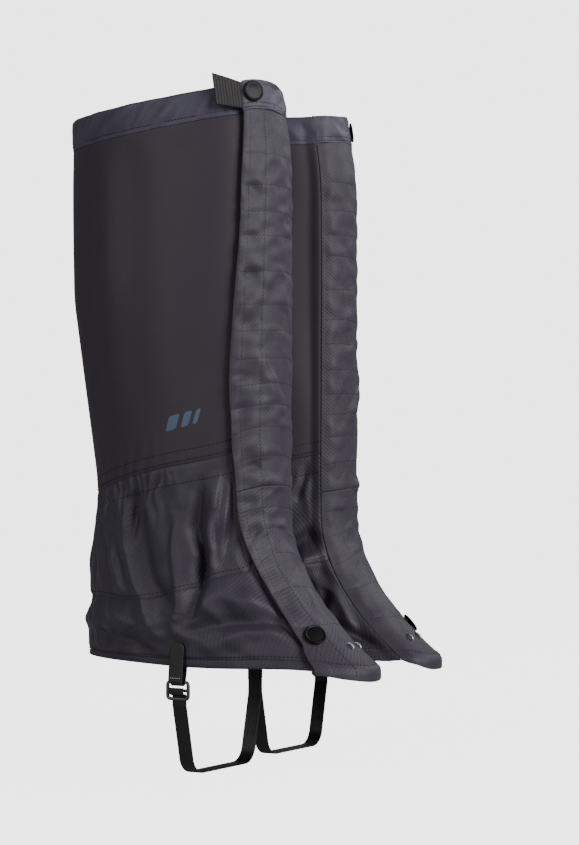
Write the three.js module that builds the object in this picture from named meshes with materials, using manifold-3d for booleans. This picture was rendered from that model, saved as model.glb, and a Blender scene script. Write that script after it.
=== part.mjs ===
// A pair of full-length hiking gaiters that close down the front, in millimetres.
// +Z is up and the toes point along -Y. The right gaiter lies at -X, the left one at +X.
// Z = 0 is the underside of the foot straps; X = 0 is midway between the two legs.
import * as THREE from 'three';
import { mergeVertices } from 'three/addons/utils/BufferGeometryUtils.js';
import Module from 'manifold-3d';

const wasm = await Module();
wasm.setup();

// ---- Driving dimensions -------------------------------------------------------------

const clearance = 0.3;          // air left between two pieces that lie on each other

// The pair
const legGap = 10;              // between the two gaiters where they are widest
const leftSetBack = 11;         // the left foot stands this far behind the right one

// Heights: a rise is measured up from the hem at the shin
const hemHeight = 76;           // underside of the foot strap to the hem
const coverHeight = 425;        // hem to rim
const crossRise = 77;           // seam between boot cover and ankle panel
const ankleRise = 160;          // ankle seam, the narrowest place
const calfRise = 295;           // widest place of the calf
const instepRise = 115;         // the front starts to run out over the instep here

// Front and back lines, measured forward from the leg axis, and half widths
const shinLine = 83;
const instepReach = 75;         // the hem runs this far ahead of the shin
const hemBack = -81;
const ankleBack = -71;
const calfBack = -94;
const topBack = -97;
const hemHalfWidth = 53;
const ankleHalfWidth = 50.5;
const calfHalfWidth = 56;
const topHalfWidth = 54.5;

// Seams drop towards the heel: fall for each millimetre behind the front line
const crossFall = 0.155;
const ankleFall = 0.19;
const calfFall = 0.12;
const topFall = 0.03;

// Cloth
const clothThickness = 1.2;
const tapeThickness = 1.1;      // hook or loop tape
const bandHeight = 22;          // satin band round the top
const bandWall = 0.9;
const bandChannel = 3.5;        // room inside the folded band
const elasticHeight = 15;
const elasticThickness = 1.5;
const ankleElasticHeight = 8;
const hemFold = 7;              // height of the turned hem
const hemThickness = 1.8;
const placketRise = 12;         // the placket stops short of the hem, behind the lace hook

// Front flap: its seam keeps one distance inside the leg's middle plane
const seamInset = 25;
const flapReachHem = 28;        // free edge, outside the middle plane
const flapReachAnkle = 35;
const flapReachTop = 29;
const upperFlapRise = 155;      // the upper flap hinges above this
const lowerFlapRise = 92;       // the lower flap hinges below this

// Press snaps
const snapInset = 11;           // centre to the flap's free edge
const topSnapDrop = 9.5;        // centre below the rim
const lowSnapRise = 23;         // centre above the hem
const snapLift = 0.25;          // flat plates stand this much more off the curved cloth
const capRadius = 7.8;
const capHeight = 1.7;
const studRadius = 5;
const studPlate = 0.6;
const nubRadius = 2.4;
const nubHeight = 1;
const nubPlay = 1;              // room round the nub inside the socket
const socketRadius = 5.6;
const socketHeight = 0.95;
const postRadius = 1.6;
const postPlay = 0.4;

// Pull tab
const tabLength = 22;
const tabHeight = 24;
const tabAboveRim = 6;
const tabThickness = 1.6;

// Foot strap, buckle and anchors
const strapForward = 31;        // centre line ahead of the leg axis
const strapWidth = 12;
const strapThickness = 1.2;
const archHalfWidth = 43;       // half the width of the strap at the arch
const strapBend = 14;           // radius of the strap's two lower bends
const buckleDrop = 15;          // hem to the buckle's centre
const buckleWidth = 20;
const buckleHeight = 14.5;
const buckleThickness = 2.2;
const buckleBar = 2.4;
const centreBar = 2;
const buckleCorner = 3;
const tailAboveHem = 19;
const tailLean = 2.6;           // the tail leans in to the cloth by this much
const anchorWidth = 10;
const anchorThickness = 1;
const anchorAboveHem = 12;
const anchorPlay = 1;           // room between the anchors and the turned hem

// Lace hook
const hookWire = 0.8;           // wire radius
const hookHalfWidth = 6;
const hookStapleRise = 15;      // middle of the staples above the hem
const hookStapleLength = 7;
const hookNose = 3;             // wire beyond the flap's lower edge
const hookThroat = 3.6;         // clear height inside the hook
const hookReturn = 9;           // length of the turned-back part
const hookDrop = 0.7;           // the cloth curves down this far from the middle to each wire

// Mesh fineness
const flapStations = 12;        // steps across the front flap
const backStations = 22;        // steps round the rest of the leg
const instepSteps = 6;          // levels down the curve of the instep
const shortestFace = 5;
const tallestFace = 50;
const roundSides = 16;
const wireSides = 8;
const wireSteps = 48;

// ---- Shape of the leg ---------------------------------------------------------------

const legSpacing = legGap
  + 2 * Math.max(hemHalfWidth, ankleHalfWidth, calfHalfWidth, topHalfWidth);

const interpolate = (table, rise) => {
  const last = table.length - 1;
  const found = table.findIndex(([at]) => at > rise);
  const index = found === -1 ? last : Math.min(Math.max(found, 1), last);
  const [r0, v0] = table[index - 1];
  const [r1, v1] = table[index];
  return v0 + ((v1 - v0) * (rise - r0)) / (r1 - r0);
};

const table = (hem, ankle, calf, top) => [
  [0, hem], [ankleRise, ankle], [calfRise, calf], [coverHeight, top],
];
const backLine = table(hemBack, ankleBack, calfBack, topBack);
const halfWidth = table(hemHalfWidth, ankleHalfWidth, calfHalfWidth, topHalfWidth);
const fallLine = [
  [0, 0], [crossRise, crossFall], [ankleRise, ankleFall], [calfRise, calfFall], [coverHeight, topFall],
];
const flapReach = [[0, flapReachHem], [ankleRise, flapReachAnkle], [coverHeight, flapReachTop]];

// The front stays on the shin line and swings out over the instep as a parabola.
const frontLine = (rise) => {
  const below = Math.max(0, (instepRise - rise) / instepRise);
  return shinLine + instepReach * below * below;
};


// Both tapes start above the lace hook and end below the band.
const bandBottom = coverHeight - bandHeight;
const tapeBottom = hookStapleRise + hookStapleLength + hemFold;
const tapeTop = bandBottom - hemFold;

const evenSteps = (from, to, steps) => Array.from(
  { length: steps }, (_, i) => from + ((to - from) * i) / steps,
);

// Every layer breaks at the same rises, so that layers over each other stay apart.
const seams = [0, tapeBottom, crossRise, ankleRise, calfRise, tapeTop, coverHeight];
const instepLevels = evenSteps(0, instepRise, instepSteps)
  .filter((rise) => seams.every((seam) => Math.abs(seam - rise) > shortestFace));
const levels = [...instepLevels, ...seams].sort((a, b) => a - b).flatMap((rise, i, all) => {
  const next = all[i + 1] ?? rise;
  return evenSteps(rise, next, Math.max(1, Math.ceil((next - rise) / tallestFace)));
});

// Cross-sections are ellipses at the levels and straight between them.
const sections = levels.map((rise) => {
  const front = frontLine(rise);
  const back = interpolate(backLine, rise);
  return {
    rise, front, middle: (front + back) / 2, depth: (front - back) / 2,
    half: interpolate(halfWidth, rise), fall: interpolate(fallLine, rise),
    reach: interpolate(flapReach, rise),
  };
});

const sectionAt = (rise) => {
  const along = (key) => interpolate(sections.map((section) => [section.rise, section[key]]), rise);
  return {
    front: along('front'), middle: along('middle'), depth: along('depth'),
    half: along('half'), fall: along('fall'), reach: along('reach'),
  };
};

// Stations count round the leg: 0 is the flap's seam, flapStations is its free edge, and
// lastStation is the seam again after going round the back.
const lastStation = flapStations + backStations;

const angleAt = (station, section) => {
  const seam = -Math.asin(seamInset / section.half);
  const free = Math.asin(section.reach / section.half);
  if (station <= flapStations) return seam + ((free - seam) * station) / flapStations;
  return free + ((2 * Math.PI + seam - free) * (station - flapStations)) / backStations;
};

// A point of the smooth cloth surface; X runs outwards, away from the other leg.
const smoothPoint = (station, rise) => {
  const section = sectionAt(rise);
  const angle = angleAt(station, section);
  const forward = section.middle + section.depth * Math.cos(angle);
  const height = hemHeight + rise - section.fall * (section.front - forward);
  return new THREE.Vector3(section.half * Math.sin(angle), -forward, height);
};

const slopes = (station, rise) => {
  const round = smoothPoint(station + 0.05, rise).sub(smoothPoint(station - 0.05, rise)).normalize();
  const up = smoothPoint(station, rise + 1).sub(smoothPoint(station, rise - 1)).normalize();
  const out = new THREE.Vector3().crossVectors(round, up).normalize();
  return { round, up, out };
};

const offsetPoint = (station, rise, out) =>
  smoothPoint(station, rise).addScaledVector(slopes(station, rise).out, out);

// The cloth runs straight from level to level.
const legPoint = (station, rise, out) => {
  const above = Math.min(Math.max(levels.findIndex((level) => level > rise), 1), levels.length - 1);
  const index = rise >= coverHeight ? levels.length - 1 : above;
  const [low, high] = [levels[index - 1], levels[index]];
  return offsetPoint(station, low, out)
    .lerp(offsetPoint(station, high, out), (rise - low) / (high - low));
};

const clothPoint = (station, rise) => legPoint(station, rise, 0);

// ---- Solids -------------------------------------------------------------------------

const bare = (geometry) => {
  geometry.deleteAttribute('normal');
  geometry.deleteAttribute('uv');
  return mergeVertices(geometry, 1e-4);
};

const signedVolume = (geometry) => {
  const { position } = geometry.attributes;
  const corners = [0, 1, 2].map(() => new THREE.Vector3());
  let sum = 0;
  for (let i = 0; i < geometry.index.count; i += 3) {
    corners.forEach((corner, k) => corner.fromBufferAttribute(position, geometry.index.getX(i + k)));
    sum += corners[0].dot(corners[1].clone().cross(corners[2]));
  }
  return sum;
};

// Turns every triangle over when the faces point inwards.
const facingOut = (geometry) => {
  if (signedVolume(geometry) > 0) return geometry;
  const { index } = geometry;
  for (let i = 0; i < index.count; i += 3) {
    const second = index.getX(i + 1);
    index.setX(i + 1, index.getX(i + 2));
    index.setX(i + 2, second);
  }
  return geometry;
};

const reshape = (geometry, place) => {
  const merged = bare(geometry);
  const { position } = merged.attributes;
  for (let i = 0; i < position.count; i += 1) {
    const point = place(position.getX(i), position.getY(i), position.getZ(i));
    position.setXYZ(i, point.x, point.y, point.z);
  }
  return facingOut(merged);
};

const toManifold = (geometry) => {
  const merged = bare(geometry.clone());
  const mesh = new wasm.Mesh({
    numProp: 3,
    vertProperties: new Float32Array(merged.attributes.position.array),
    triVerts: new Uint32Array(merged.index.array),
  });
  return new wasm.Manifold(mesh);
};

const toGeometry = (manifold) => {
  const mesh = manifold.getMesh();
  const geometry = new THREE.BufferGeometry();
  geometry.setAttribute('position', new THREE.BufferAttribute(mesh.vertProperties, 3));
  geometry.setIndex(new THREE.BufferAttribute(mesh.triVerts, 1));
  return geometry;
};

const cut = (geometry, ...tools) => toGeometry(
  tools.reduce((solid, tool) => solid.subtract(toManifold(tool)), toManifold(geometry)),
);

const stationsBetween = (from, to) => {
  const inner = [];
  for (let s = Math.ceil(from + 0.3); s <= Math.floor(to - 0.3); s += 1) inner.push(s);
  return [from, ...inner, to];
};

const risesBetween = (from, to) => [from, ...levels.filter((r) => r > from + 0.5 && r < to - 0.5), to];

// Carries a profile of [out, rise] points round the leg.
const wrapProfile = (profile, from, to) => {
  const stations = stationsBetween(from, to);
  const shape = new THREE.Shape(profile.map(([out, rise]) => new THREE.Vector2(out, rise)));
  const steps = stations.length - 1;
  const geometry = new THREE.ExtrudeGeometry(shape, { depth: steps, steps, bevelEnabled: false });
  return reshape(geometry, (out, rise, k) => legPoint(stations[Math.round(k)], rise, out));
};

// A sheet of cloth between two stations, two rises and two distances from the cloth surface.
const wrapSheet = ([from, to], [low, high], [inside, outside]) => {
  const stations = stationsBetween(from, to);
  const rises = risesBetween(low, high);
  const [across, up] = [stations.length - 1, rises.length - 1];
  const slab = new THREE.BoxGeometry(across, up, 1, across, up, 1).translate(across / 2, up / 2, 0.5);
  return reshape(slab, (i, j, share) => legPoint(
    stations[Math.round(i)], rises[Math.round(j)], inside + (outside - inside) * share,
  ));
};

// Puts a shape on the leg: its X runs round the leg, its Y up and its Z outwards.
const putOnLeg = (geometry, station, rise) => {
  const { up, out } = slopes(station, rise);
  const round = new THREE.Vector3().crossVectors(up, out).normalize();
  const matrix = new THREE.Matrix4().makeBasis(round, new THREE.Vector3().crossVectors(out, round), out);
  matrix.setPosition(clothPoint(station, rise));
  return facingOut(bare(geometry).applyMatrix4(matrix));
};

// A round part turned about its Z axis from [radius, height] points.
const turned = (points) => {
  const lathe = new THREE.LatheGeometry(points.map(([r, h]) => new THREE.Vector2(r, h)), roundSides);
  return facingOut(bare(lathe).rotateX(Math.PI / 2));
};

const block = (x, y, z) => bare(
  new THREE.BoxGeometry(x[1] - x[0], y[1] - y[0], z[1] - z[0])
    .translate((x[0] + x[1]) / 2, (y[0] + y[1]) / 2, (z[0] + z[1]) / 2),
);

// A strip of even thickness along a path in the X-Z plane, centred on the strap's line.
const ribbon = (path, thickness, width) => {
  const points = path.filter((point, i) => i === 0 || point.distanceTo(path[i - 1]) > 0.01);
  const side = (sign) => points.map((point, i) => {
    const before = points[Math.max(i - 1, 0)];
    const after = points[Math.min(i + 1, points.length - 1)];
    const inward = point.clone().sub(before).normalize();
    const onward = after.clone().sub(point).normalize();
    const along = inward.clone().add(onward).normalize();
    const turn = i === 0 || i === points.length - 1 ? 1 : along.dot(inward);
    const normal = new THREE.Vector2(-along.y, along.x);
    return point.clone().addScaledVector(normal, (sign * thickness) / 2 / turn);
  });
  const shape = new THREE.Shape([...side(1), ...side(-1).reverse()]);
  const geometry = new THREE.ExtrudeGeometry(shape, { depth: width, bevelEnabled: false });
  return reshape(geometry, (x, z, y) => new THREE.Vector3(x, y - width / 2 - strapForward, z));
};

const arc = (x, z, radius, from, to, steps) => Array.from({ length: steps + 1 }, (_, i) => {
  const angle = THREE.MathUtils.degToRad(from + ((to - from) * i) / steps);
  return new THREE.Vector2(x + radius * Math.cos(angle), z + radius * Math.sin(angle));
});

const roundedRectangle = (halfX, halfY, radius, Path, middleY = 0) => {
  const path = new Path();
  const corner = (x, y, start) => path.absarc(x, middleY + y, radius, start, start + Math.PI / 2, false);
  corner(halfX - radius, halfY - radius, 0);
  corner(radius - halfX, halfY - radius, Math.PI / 2);
  corner(radius - halfX, radius - halfY, Math.PI);
  corner(halfX - radius, radius - halfY, Math.PI * 1.5);
  path.closePath();
  return path;
};

// ---- Layers over the cloth surface, from the leg outwards ---------------------------

const skin = [-clothThickness, 0];
const loopLayer = [clearance, clearance + tapeThickness];
const hookLayer = [loopLayer[1] + clearance, loopLayer[1] + clearance + tapeThickness];
const flapLayer = [hookLayer[1] + clearance, hookLayer[1] + clearance + clothThickness];
const seamGap = clearance / 2;
const placketStations = [1, flapStations - 1 - 0.1];
const bodyStations = [flapStations - 1, lastStation - 0.1];
const tapeStations = [4, 8];

// ---- Sleeve -------------------------------------------------------------------------

const upperPanel = () => wrapSheet(bodyStations, [ankleRise + seamGap, bandBottom - seamGap], skin);
const anklePanel = () => wrapSheet(bodyStations, [crossRise + seamGap, ankleRise - seamGap], skin);
const bootCover = () => wrapSheet(bodyStations, [hemFold + seamGap, crossRise - seamGap], skin);
const bottomHem = () => wrapSheet(bodyStations, [0, hemFold - seamGap], [-hemThickness, 0]);

// The top band is folded over into a channel that is open below.
const topHem = () => {
  const inner = -bandWall - bandChannel;
  const low = bandBottom + seamGap;
  const roof = coverHeight - bandWall;
  const band = wrapProfile([
    [0, low], [0, coverHeight], [inner - bandWall, coverHeight], [inner - bandWall, low],
    [inner, low], [inner, roof], [-bandWall, roof], [-bandWall, low],
  ], placketStations[0], bodyStations[1]);
  return cut(band, onSnap(topSnap, postHole()));
};

const topElastic = () => {
  const outside = -bandWall - clearance * 3;
  const middle = (bandBottom + coverHeight - bandWall) / 2;
  return wrapSheet(
    [flapStations + 2, lastStation - 2],
    [middle - elasticHeight / 2, middle + elasticHeight / 2],
    [outside - elasticThickness, outside],
  );
};

const ankleElastic = () => {
  const outside = -clothThickness - clearance;
  return wrapSheet(
    [flapStations + 1, lastStation - 2],
    [ankleRise - ankleElasticHeight / 2, ankleRise + ankleElasticHeight / 2],
    [outside - elasticThickness, outside],
  );
};

const placket = () => {
  const strip = wrapSheet(placketStations, [placketRise, bandBottom - seamGap], skin);
  return cut(strip, onSnap(lowSnap, postHole()));
};

const loopTape = () => wrapSheet(tapeStations, [tapeBottom, tapeTop], loopLayer);

// ---- Snaps --------------------------------------------------------------------------

const flapWidthAt = (rise) => {
  let width = 0;
  for (let s = 1; s <= flapStations; s += 1) {
    width += clothPoint(s, rise).distanceTo(clothPoint(s - 1, rise));
  }
  return width;
};

const snapAt = (rise) => ({ rise, station: flapStations * (1 - snapInset / flapWidthAt(rise)) });
const topSnap = snapAt(coverHeight - topSnapDrop);
const lowSnap = snapAt(lowSnapRise);
const onSnap = (snap, geometry) => putOnLeg(geometry, snap.station, snap.rise);

const postHole = () => turned([
  [0, -3 * clothThickness], [postRadius + postPlay, -3 * clothThickness],
  [postRadius + postPlay, clearance], [0, clearance],
]);

const flapHole = () => turned([
  [0, hookLayer[0]], [postRadius + postPlay, hookLayer[0]],
  [postRadius + postPlay, flapLayer[1] + capHeight], [0, flapLayer[1] + capHeight],
]);

const plateBase = clearance + snapLift;
const plateTop = plateBase + studPlate;
const nubTop = plateTop + nubHeight;

const studShape = () => turned([
  [0, plateBase], [studRadius, plateBase], [studRadius, plateTop],
  [nubRadius, plateTop], [nubRadius, nubTop], [0, nubTop],
]);

const postShape = () => {
  const plate = -clothThickness - 2.5 * clearance;
  return turned([
    [0, plate - studPlate], [studRadius, plate - studPlate], [studRadius, plate],
    [postRadius, plate], [postRadius, 0], [0, 0],
  ]);
};

const socketShape = () => {
  const low = plateTop + clearance;
  const inside = nubRadius + nubPlay;
  return turned([
    [inside, low], [socketRadius, low], [socketRadius, low + socketHeight],
    [inside, low + socketHeight], [inside, low],
  ]);
};

const capShape = () => {
  const base = flapLayer[1] + clearance + snapLift;
  const rim = base + capHeight;
  return turned([
    [0, nubTop + clearance], [postRadius, nubTop + clearance], [postRadius, base],
    [capRadius - 0.5, base], [capRadius, base + 0.4], [capRadius, rim - 0.5],
    [capRadius - 0.5, rim], [capRadius - 1.2, rim], [capRadius - 1.6, rim - 0.35], [0, rim - 0.1],
  ]);
};

// ---- Front flap ---------------------------------------------------------------------

// A hinge line runs along the flap's seam, on the flap's outer face.
const hingeLine = (low, high) => {
  const start = legPoint(0, low, flapLayer[1]);
  const end = legPoint(0, high, flapLayer[1]);
  return { start, end, along: end.clone().sub(start).normalize() };
};
const upperHinge = hingeLine(upperFlapRise, coverHeight);
const lowerHinge = hingeLine(0, lowerFlapRise);

// A block that fills everything on one side of the plane through a point.
const beyond = (point, direction) => {
  const size = coverHeight + instepReach;
  const turn = new THREE.Quaternion().setFromUnitVectors(new THREE.Vector3(0, 0, 1), direction);
  return block([-size, size], [-size, size], [0, size]).applyQuaternion(turn)
    .translate(point.x, point.y, point.z);
};

const flapStrip = () => wrapSheet([0, flapStations], [0, bandBottom - seamGap], flapLayer);
const aboveUpperHinge = () => beyond(upperHinge.start, upperHinge.along);
const belowUpperHinge = () => beyond(
  upperHinge.start.clone().addScaledVector(upperHinge.along, clearance), upperHinge.along.clone().negate(),
);
const belowLowerHinge = () => beyond(lowerHinge.end, lowerHinge.along.clone().negate());
const aboveLowerHinge = () => beyond(
  lowerHinge.end.clone().addScaledVector(lowerHinge.along, -clearance), lowerHinge.along,
);

const flapUpper = () => cut(flapStrip(), belowUpperHinge());
const flapAnkle = () => cut(flapStrip(), aboveUpperHinge(), belowLowerHinge());
const flapLower = () => cut(flapStrip(), aboveLowerHinge(), onSnap(lowSnap, flapHole()), ...hookSlots());

const flapTopBand = () => cut(
  wrapSheet([0, flapStations], [bandBottom + seamGap, coverHeight], flapLayer),
  onSnap(topSnap, flapHole()),
);

const hookTapeUpper = () => wrapSheet(tapeStations, [ankleRise, tapeTop], hookLayer);
const hookTapeLower = () => wrapSheet(tapeStations, [tapeBottom, crossRise], hookLayer);

const pullTab = () => putOnLeg(
  block([clearance, tabLength], [-tabHeight / 2, tabHeight / 2], [flapLayer[1] - tabThickness, flapLayer[1]]),
  flapStations, coverHeight + tabAboveRim - tabHeight / 2,
);

// ---- Lace hook: one wire, stapled through the tip, that turns back below it ---------

const hookStation = flapStations * 0.42;
const stapleEnds = [hookStapleRise - hookStapleLength / 2, hookStapleRise + hookStapleLength / 2];
const wireAbove = flapLayer[1] + clearance + hookWire - hookDrop;
const wireBelow = flapLayer[0] - clearance - hookWire - hookDrop;

const hookSlots = () => [-1, 1].map((sign) => putOnLeg(
  block(
    [sign * hookHalfWidth - 2 * hookWire, sign * hookHalfWidth + 2 * hookWire],
    [-hookStapleLength / 2 - 2 * hookWire, hookStapleLength / 2 + 2 * hookWire],
    [hookLayer[0], wireAbove + 2 * hookWire],
  ),
  hookStation, hookStapleRise,
));

// Half of the wire, from the staple's back end to the middle of the turned-back bar.
const hookHalf = (sign) => {
  const x = sign * hookHalfWidth;
  const nose = -hookStapleRise - hookNose;
  const under = wireBelow - hookThroat - 2 * hookWire;
  const back = nose + hookReturn;
  const front = -hookStapleLength / 2;
  return [
    [x, -front, wireBelow], [x, -front - hookWire, wireAbove], [x, front + hookWire, wireAbove],
    [x, front, wireBelow], [x, nose + 2, wireBelow], [x, nose, (wireBelow + under) / 2],
    [x, nose + 2, under], [x, back, under], [x * 0.6, back + 2, under],
  ].map(([px, py, pz]) => new THREE.Vector3(px, py, pz));
};

// Straight runs with a rounded corner at each inner point.
const roundedPath = (points, radius) => {
  const path = new THREE.CurvePath();
  let from = points[0];
  for (let i = 1; i < points.length - 1; i += 1) {
    const [before, corner, after] = [points[i - 1], points[i], points[i + 1]];
    const reach = Math.min(radius, corner.distanceTo(before) / 2.2, corner.distanceTo(after) / 2.2);
    const enter = corner.clone().add(before.clone().sub(corner).setLength(reach));
    const leave = corner.clone().add(after.clone().sub(corner).setLength(reach));
    path.add(new THREE.LineCurve3(from, enter));
    path.add(new THREE.QuadraticBezierCurve3(enter, corner, leave));
    from = leave;
  }
  path.add(new THREE.LineCurve3(from, points[points.length - 1]));
  return path;
};

const laceHook = () => {
  const points = [...hookHalf(-1), ...hookHalf(1).reverse()];
  const section = new THREE.Shape(
    Array.from({ length: wireSides }, (_, i) => {
      const angle = (2 * Math.PI * i) / wireSides;
      return new THREE.Vector2(hookWire * Math.cos(angle), hookWire * Math.sin(angle));
    }),
  );
  const extrudePath = roundedPath(points, 2);
  const wire = new THREE.ExtrudeGeometry(section, { steps: wireSteps, bevelEnabled: false, extrudePath });
  return putOnLeg(wire, hookStation, hookStapleRise);
};

// ---- Foot strap ---------------------------------------------------------------------

const strapSection = sectionAt(0);
const hemSide = strapSection.half
  * Math.sqrt(1 - ((strapForward - strapSection.middle) / strapSection.depth) ** 2);
const anchorX = hemSide - hemThickness - anchorPlay - anchorThickness / 2;
const buckleCentre = hemHeight - buckleDrop;
const buckleInside = hemSide - clearance;
const buckleOutside = buckleInside + buckleThickness;
const innerRun = buckleInside - clearance - strapThickness / 2;
const outerRun = buckleOutside + clearance + strapThickness / 2;
const topBar = buckleCentre + buckleHeight / 2 - buckleBar / 2;
const lowerSlot = buckleCentre - (centreBar / 2 + buckleHeight / 2 - buckleBar) / 2;
const point2 = (x, z) => new THREE.Vector2(x, z);

// Up from under the arch, out through the buckle's lower slot and over its centre bar.
const footStrap = () => {
  const floor = strapThickness / 2;
  const lowX = archHalfWidth - strapBend;
  const path = [
    point2(outerRun, buckleCentre + centreBar), point2(outerRun, lowerSlot), point2(innerRun, lowerSlot),
    point2(innerRun, buckleCentre - buckleHeight / 2 - 3),
    ...arc(lowX, floor + strapBend, strapBend, -8, -90, 6),
    ...arc(-lowX, floor + strapBend, strapBend, 270, 188, 6),
    point2(-innerRun, buckleCentre - buckleHeight / 2 - 3), point2(-innerRun, hemHeight - hemFold),
  ];
  return ribbon(path, strapThickness, strapWidth);
};

const loopRadius = Math.hypot(buckleBar, buckleThickness) / 2 + clearance + anchorThickness / 2;
const barX = (buckleInside + buckleOutside) / 2;

// Webbing sewn inside the hem that wraps the buckle's top bar.
const anchorOuter = () => ribbon([
  point2(anchorX, hemHeight + anchorAboveHem), point2(anchorX, hemHeight - 1),
  ...arc(barX, topBar, loopRadius, 180, 395, 10),
], anchorThickness, anchorWidth);

const anchorInner = () => {
  const path = [hemHeight + anchorAboveHem, hemHeight - buckleDrop].map((z) => point2(-anchorX, z));
  return ribbon(path, anchorThickness, anchorWidth);
};

const strapTail = () => {
  const x = barX + loopRadius + anchorThickness / 2 + clearance + strapThickness / 2;
  return ribbon([
    point2(x, topBar), point2(x - tailLean, hemHeight + tailAboveHem),
  ], strapThickness, strapWidth);
};

const buckle = () => {
  const shape = roundedRectangle(buckleWidth / 2, buckleHeight / 2, buckleCorner, THREE.Shape);
  const windowHalf = (buckleHeight - 2 * buckleBar - centreBar) / 4;
  const offset = centreBar / 2 + windowHalf;
  shape.holes = [-offset, offset].map((middle) => roundedRectangle(
    buckleWidth / 2 - buckleBar, windowHalf, 0.8, THREE.Path, middle,
  ));
  const plate = new THREE.ExtrudeGeometry(shape, {
    depth: buckleThickness, bevelEnabled: false, curveSegments: 2,
  });
  return reshape(plate, (y, z, x) => new THREE.Vector3(
    buckleInside + x, y - strapForward, buckleCentre + z,
  ));
};

// ---- Pieces and their finishes ------------------------------------------------------

const finishes = {
  laminate: { color: 0x3a353d, roughness: 0.62, metalness: 0 },
  satin: { color: 0x4b4c57, roughness: 0.45, metalness: 0 },
  twill: { color: 0x484550, roughness: 0.78, metalness: 0 },
  tape: { color: 0x222226, roughness: 0.95, metalness: 0 },
  elastic: { color: 0x18181a, roughness: 0.85, metalness: 0 },
  webbing: { color: 0x26262b, roughness: 0.8, metalness: 0 },
  strap: { color: 0x121213, roughness: 0.4, metalness: 0 },
  snap: { color: 0x1d1d1f, roughness: 0.25, metalness: 0.2 },
  steel: { color: 0x9a9da3, roughness: 0.3, metalness: 1 },
};

const pieces = {
  upper_panel: [upperPanel, 'laminate'],
  top_hem: [topHem, 'satin'],
  top_elastic: [topElastic, 'elastic'],
  ankle_panel: [anklePanel, 'twill'],
  ankle_elastic: [ankleElastic, 'elastic'],
  boot_cover: [bootCover, 'twill'],
  bottom_hem: [bottomHem, 'twill'],
  placket: [placket, 'twill'],
  loop_tape: [loopTape, 'tape'],
  flap_ankle: [flapAnkle, 'twill'],
  snap_top_stud: [() => onSnap(topSnap, studShape()), 'steel'],
  snap_top_post: [() => onSnap(topSnap, postShape()), 'steel'],
  snap_low_stud: [() => onSnap(lowSnap, studShape()), 'steel'],
  snap_low_post: [() => onSnap(lowSnap, postShape()), 'steel'],
  flap_upper: [flapUpper, 'twill'],
  flap_top_band: [flapTopBand, 'satin'],
  hook_tape_upper: [hookTapeUpper, 'tape'],
  snap_top_cap: [() => onSnap(topSnap, capShape()), 'snap'],
  snap_top_socket: [() => onSnap(topSnap, socketShape()), 'steel'],
  pull_tab: [pullTab, 'webbing'],
  flap_lower: [flapLower, 'twill'],
  hook_tape_lower: [hookTapeLower, 'tape'],
  snap_low_cap: [() => onSnap(lowSnap, capShape()), 'snap'],
  snap_low_socket: [() => onSnap(lowSnap, socketShape()), 'steel'],
  lace_hook: [laceHook, 'steel'],
  foot_strap: [footStrap, 'strap'],
  strap_buckle: [buckle, 'steel'],
  strap_anchor_outer: [anchorOuter, 'webbing'],
  strap_anchor_inner: [anchorInner, 'webbing'],
  strap_tail: [strapTail, 'strap'],
};

// ---- The pair: the left gaiter is built, the right one is its mirror image ----------

const gaiters = new THREE.Group();
gaiters.name = 'gaiters';

for (const [name, [build, finish]] of Object.entries(pieces)) {
  const geometry = build();
  for (const [side, sign, setBack] of [['left', 1, leftSetBack], ['right', -1, 0]]) {
    const own = geometry.clone().scale(sign, 1, 1).translate((sign * legSpacing) / 2, setBack, 0);
    const mesh = new THREE.Mesh(facingOut(own), new THREE.MeshStandardMaterial(finishes[finish]));
    mesh.name = `${side}_${name}`;
    gaiters.add(mesh);
  }
}

export default gaiters;
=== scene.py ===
"""Looks of a pair of full-length hiking gaiters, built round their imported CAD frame.

Shapes are worked out in millimetres in a leg's own frame: X points outwards, away from the
other leg, -Y points to the toes and Z up, with Z = 0 under the foot straps. Side.place then
puts them in the frame's metres. A place on the cloth is a station and a rise: stations count
round the leg, from 0 at the front flap's seam over 12 at its free edge to 34 back at the seam,
and a rise is the height above the hem on the shin.
"""

import logging
import math
from dataclasses import dataclass, field
from enum import Enum

import bpy
import numpy as np
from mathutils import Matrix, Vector


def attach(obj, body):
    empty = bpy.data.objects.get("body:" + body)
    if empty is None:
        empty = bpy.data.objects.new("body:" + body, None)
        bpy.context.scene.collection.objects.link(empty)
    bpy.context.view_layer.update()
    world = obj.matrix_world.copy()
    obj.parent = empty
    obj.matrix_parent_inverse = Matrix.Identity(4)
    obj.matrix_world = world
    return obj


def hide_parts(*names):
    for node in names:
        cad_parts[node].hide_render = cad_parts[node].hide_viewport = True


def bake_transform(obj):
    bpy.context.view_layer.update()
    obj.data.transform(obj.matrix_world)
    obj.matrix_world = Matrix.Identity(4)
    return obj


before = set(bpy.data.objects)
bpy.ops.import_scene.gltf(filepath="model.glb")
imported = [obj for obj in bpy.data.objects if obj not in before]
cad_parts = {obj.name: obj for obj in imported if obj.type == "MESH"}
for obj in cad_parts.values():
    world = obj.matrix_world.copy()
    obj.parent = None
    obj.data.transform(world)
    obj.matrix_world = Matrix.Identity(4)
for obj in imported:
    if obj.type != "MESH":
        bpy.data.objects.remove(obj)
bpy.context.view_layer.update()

LOG = logging.getLogger("gaiters")
MM = 0.001
TAU = 2 * math.pi

Array = np.ndarray
Knots = tuple[tuple[float, float], ...]


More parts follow.
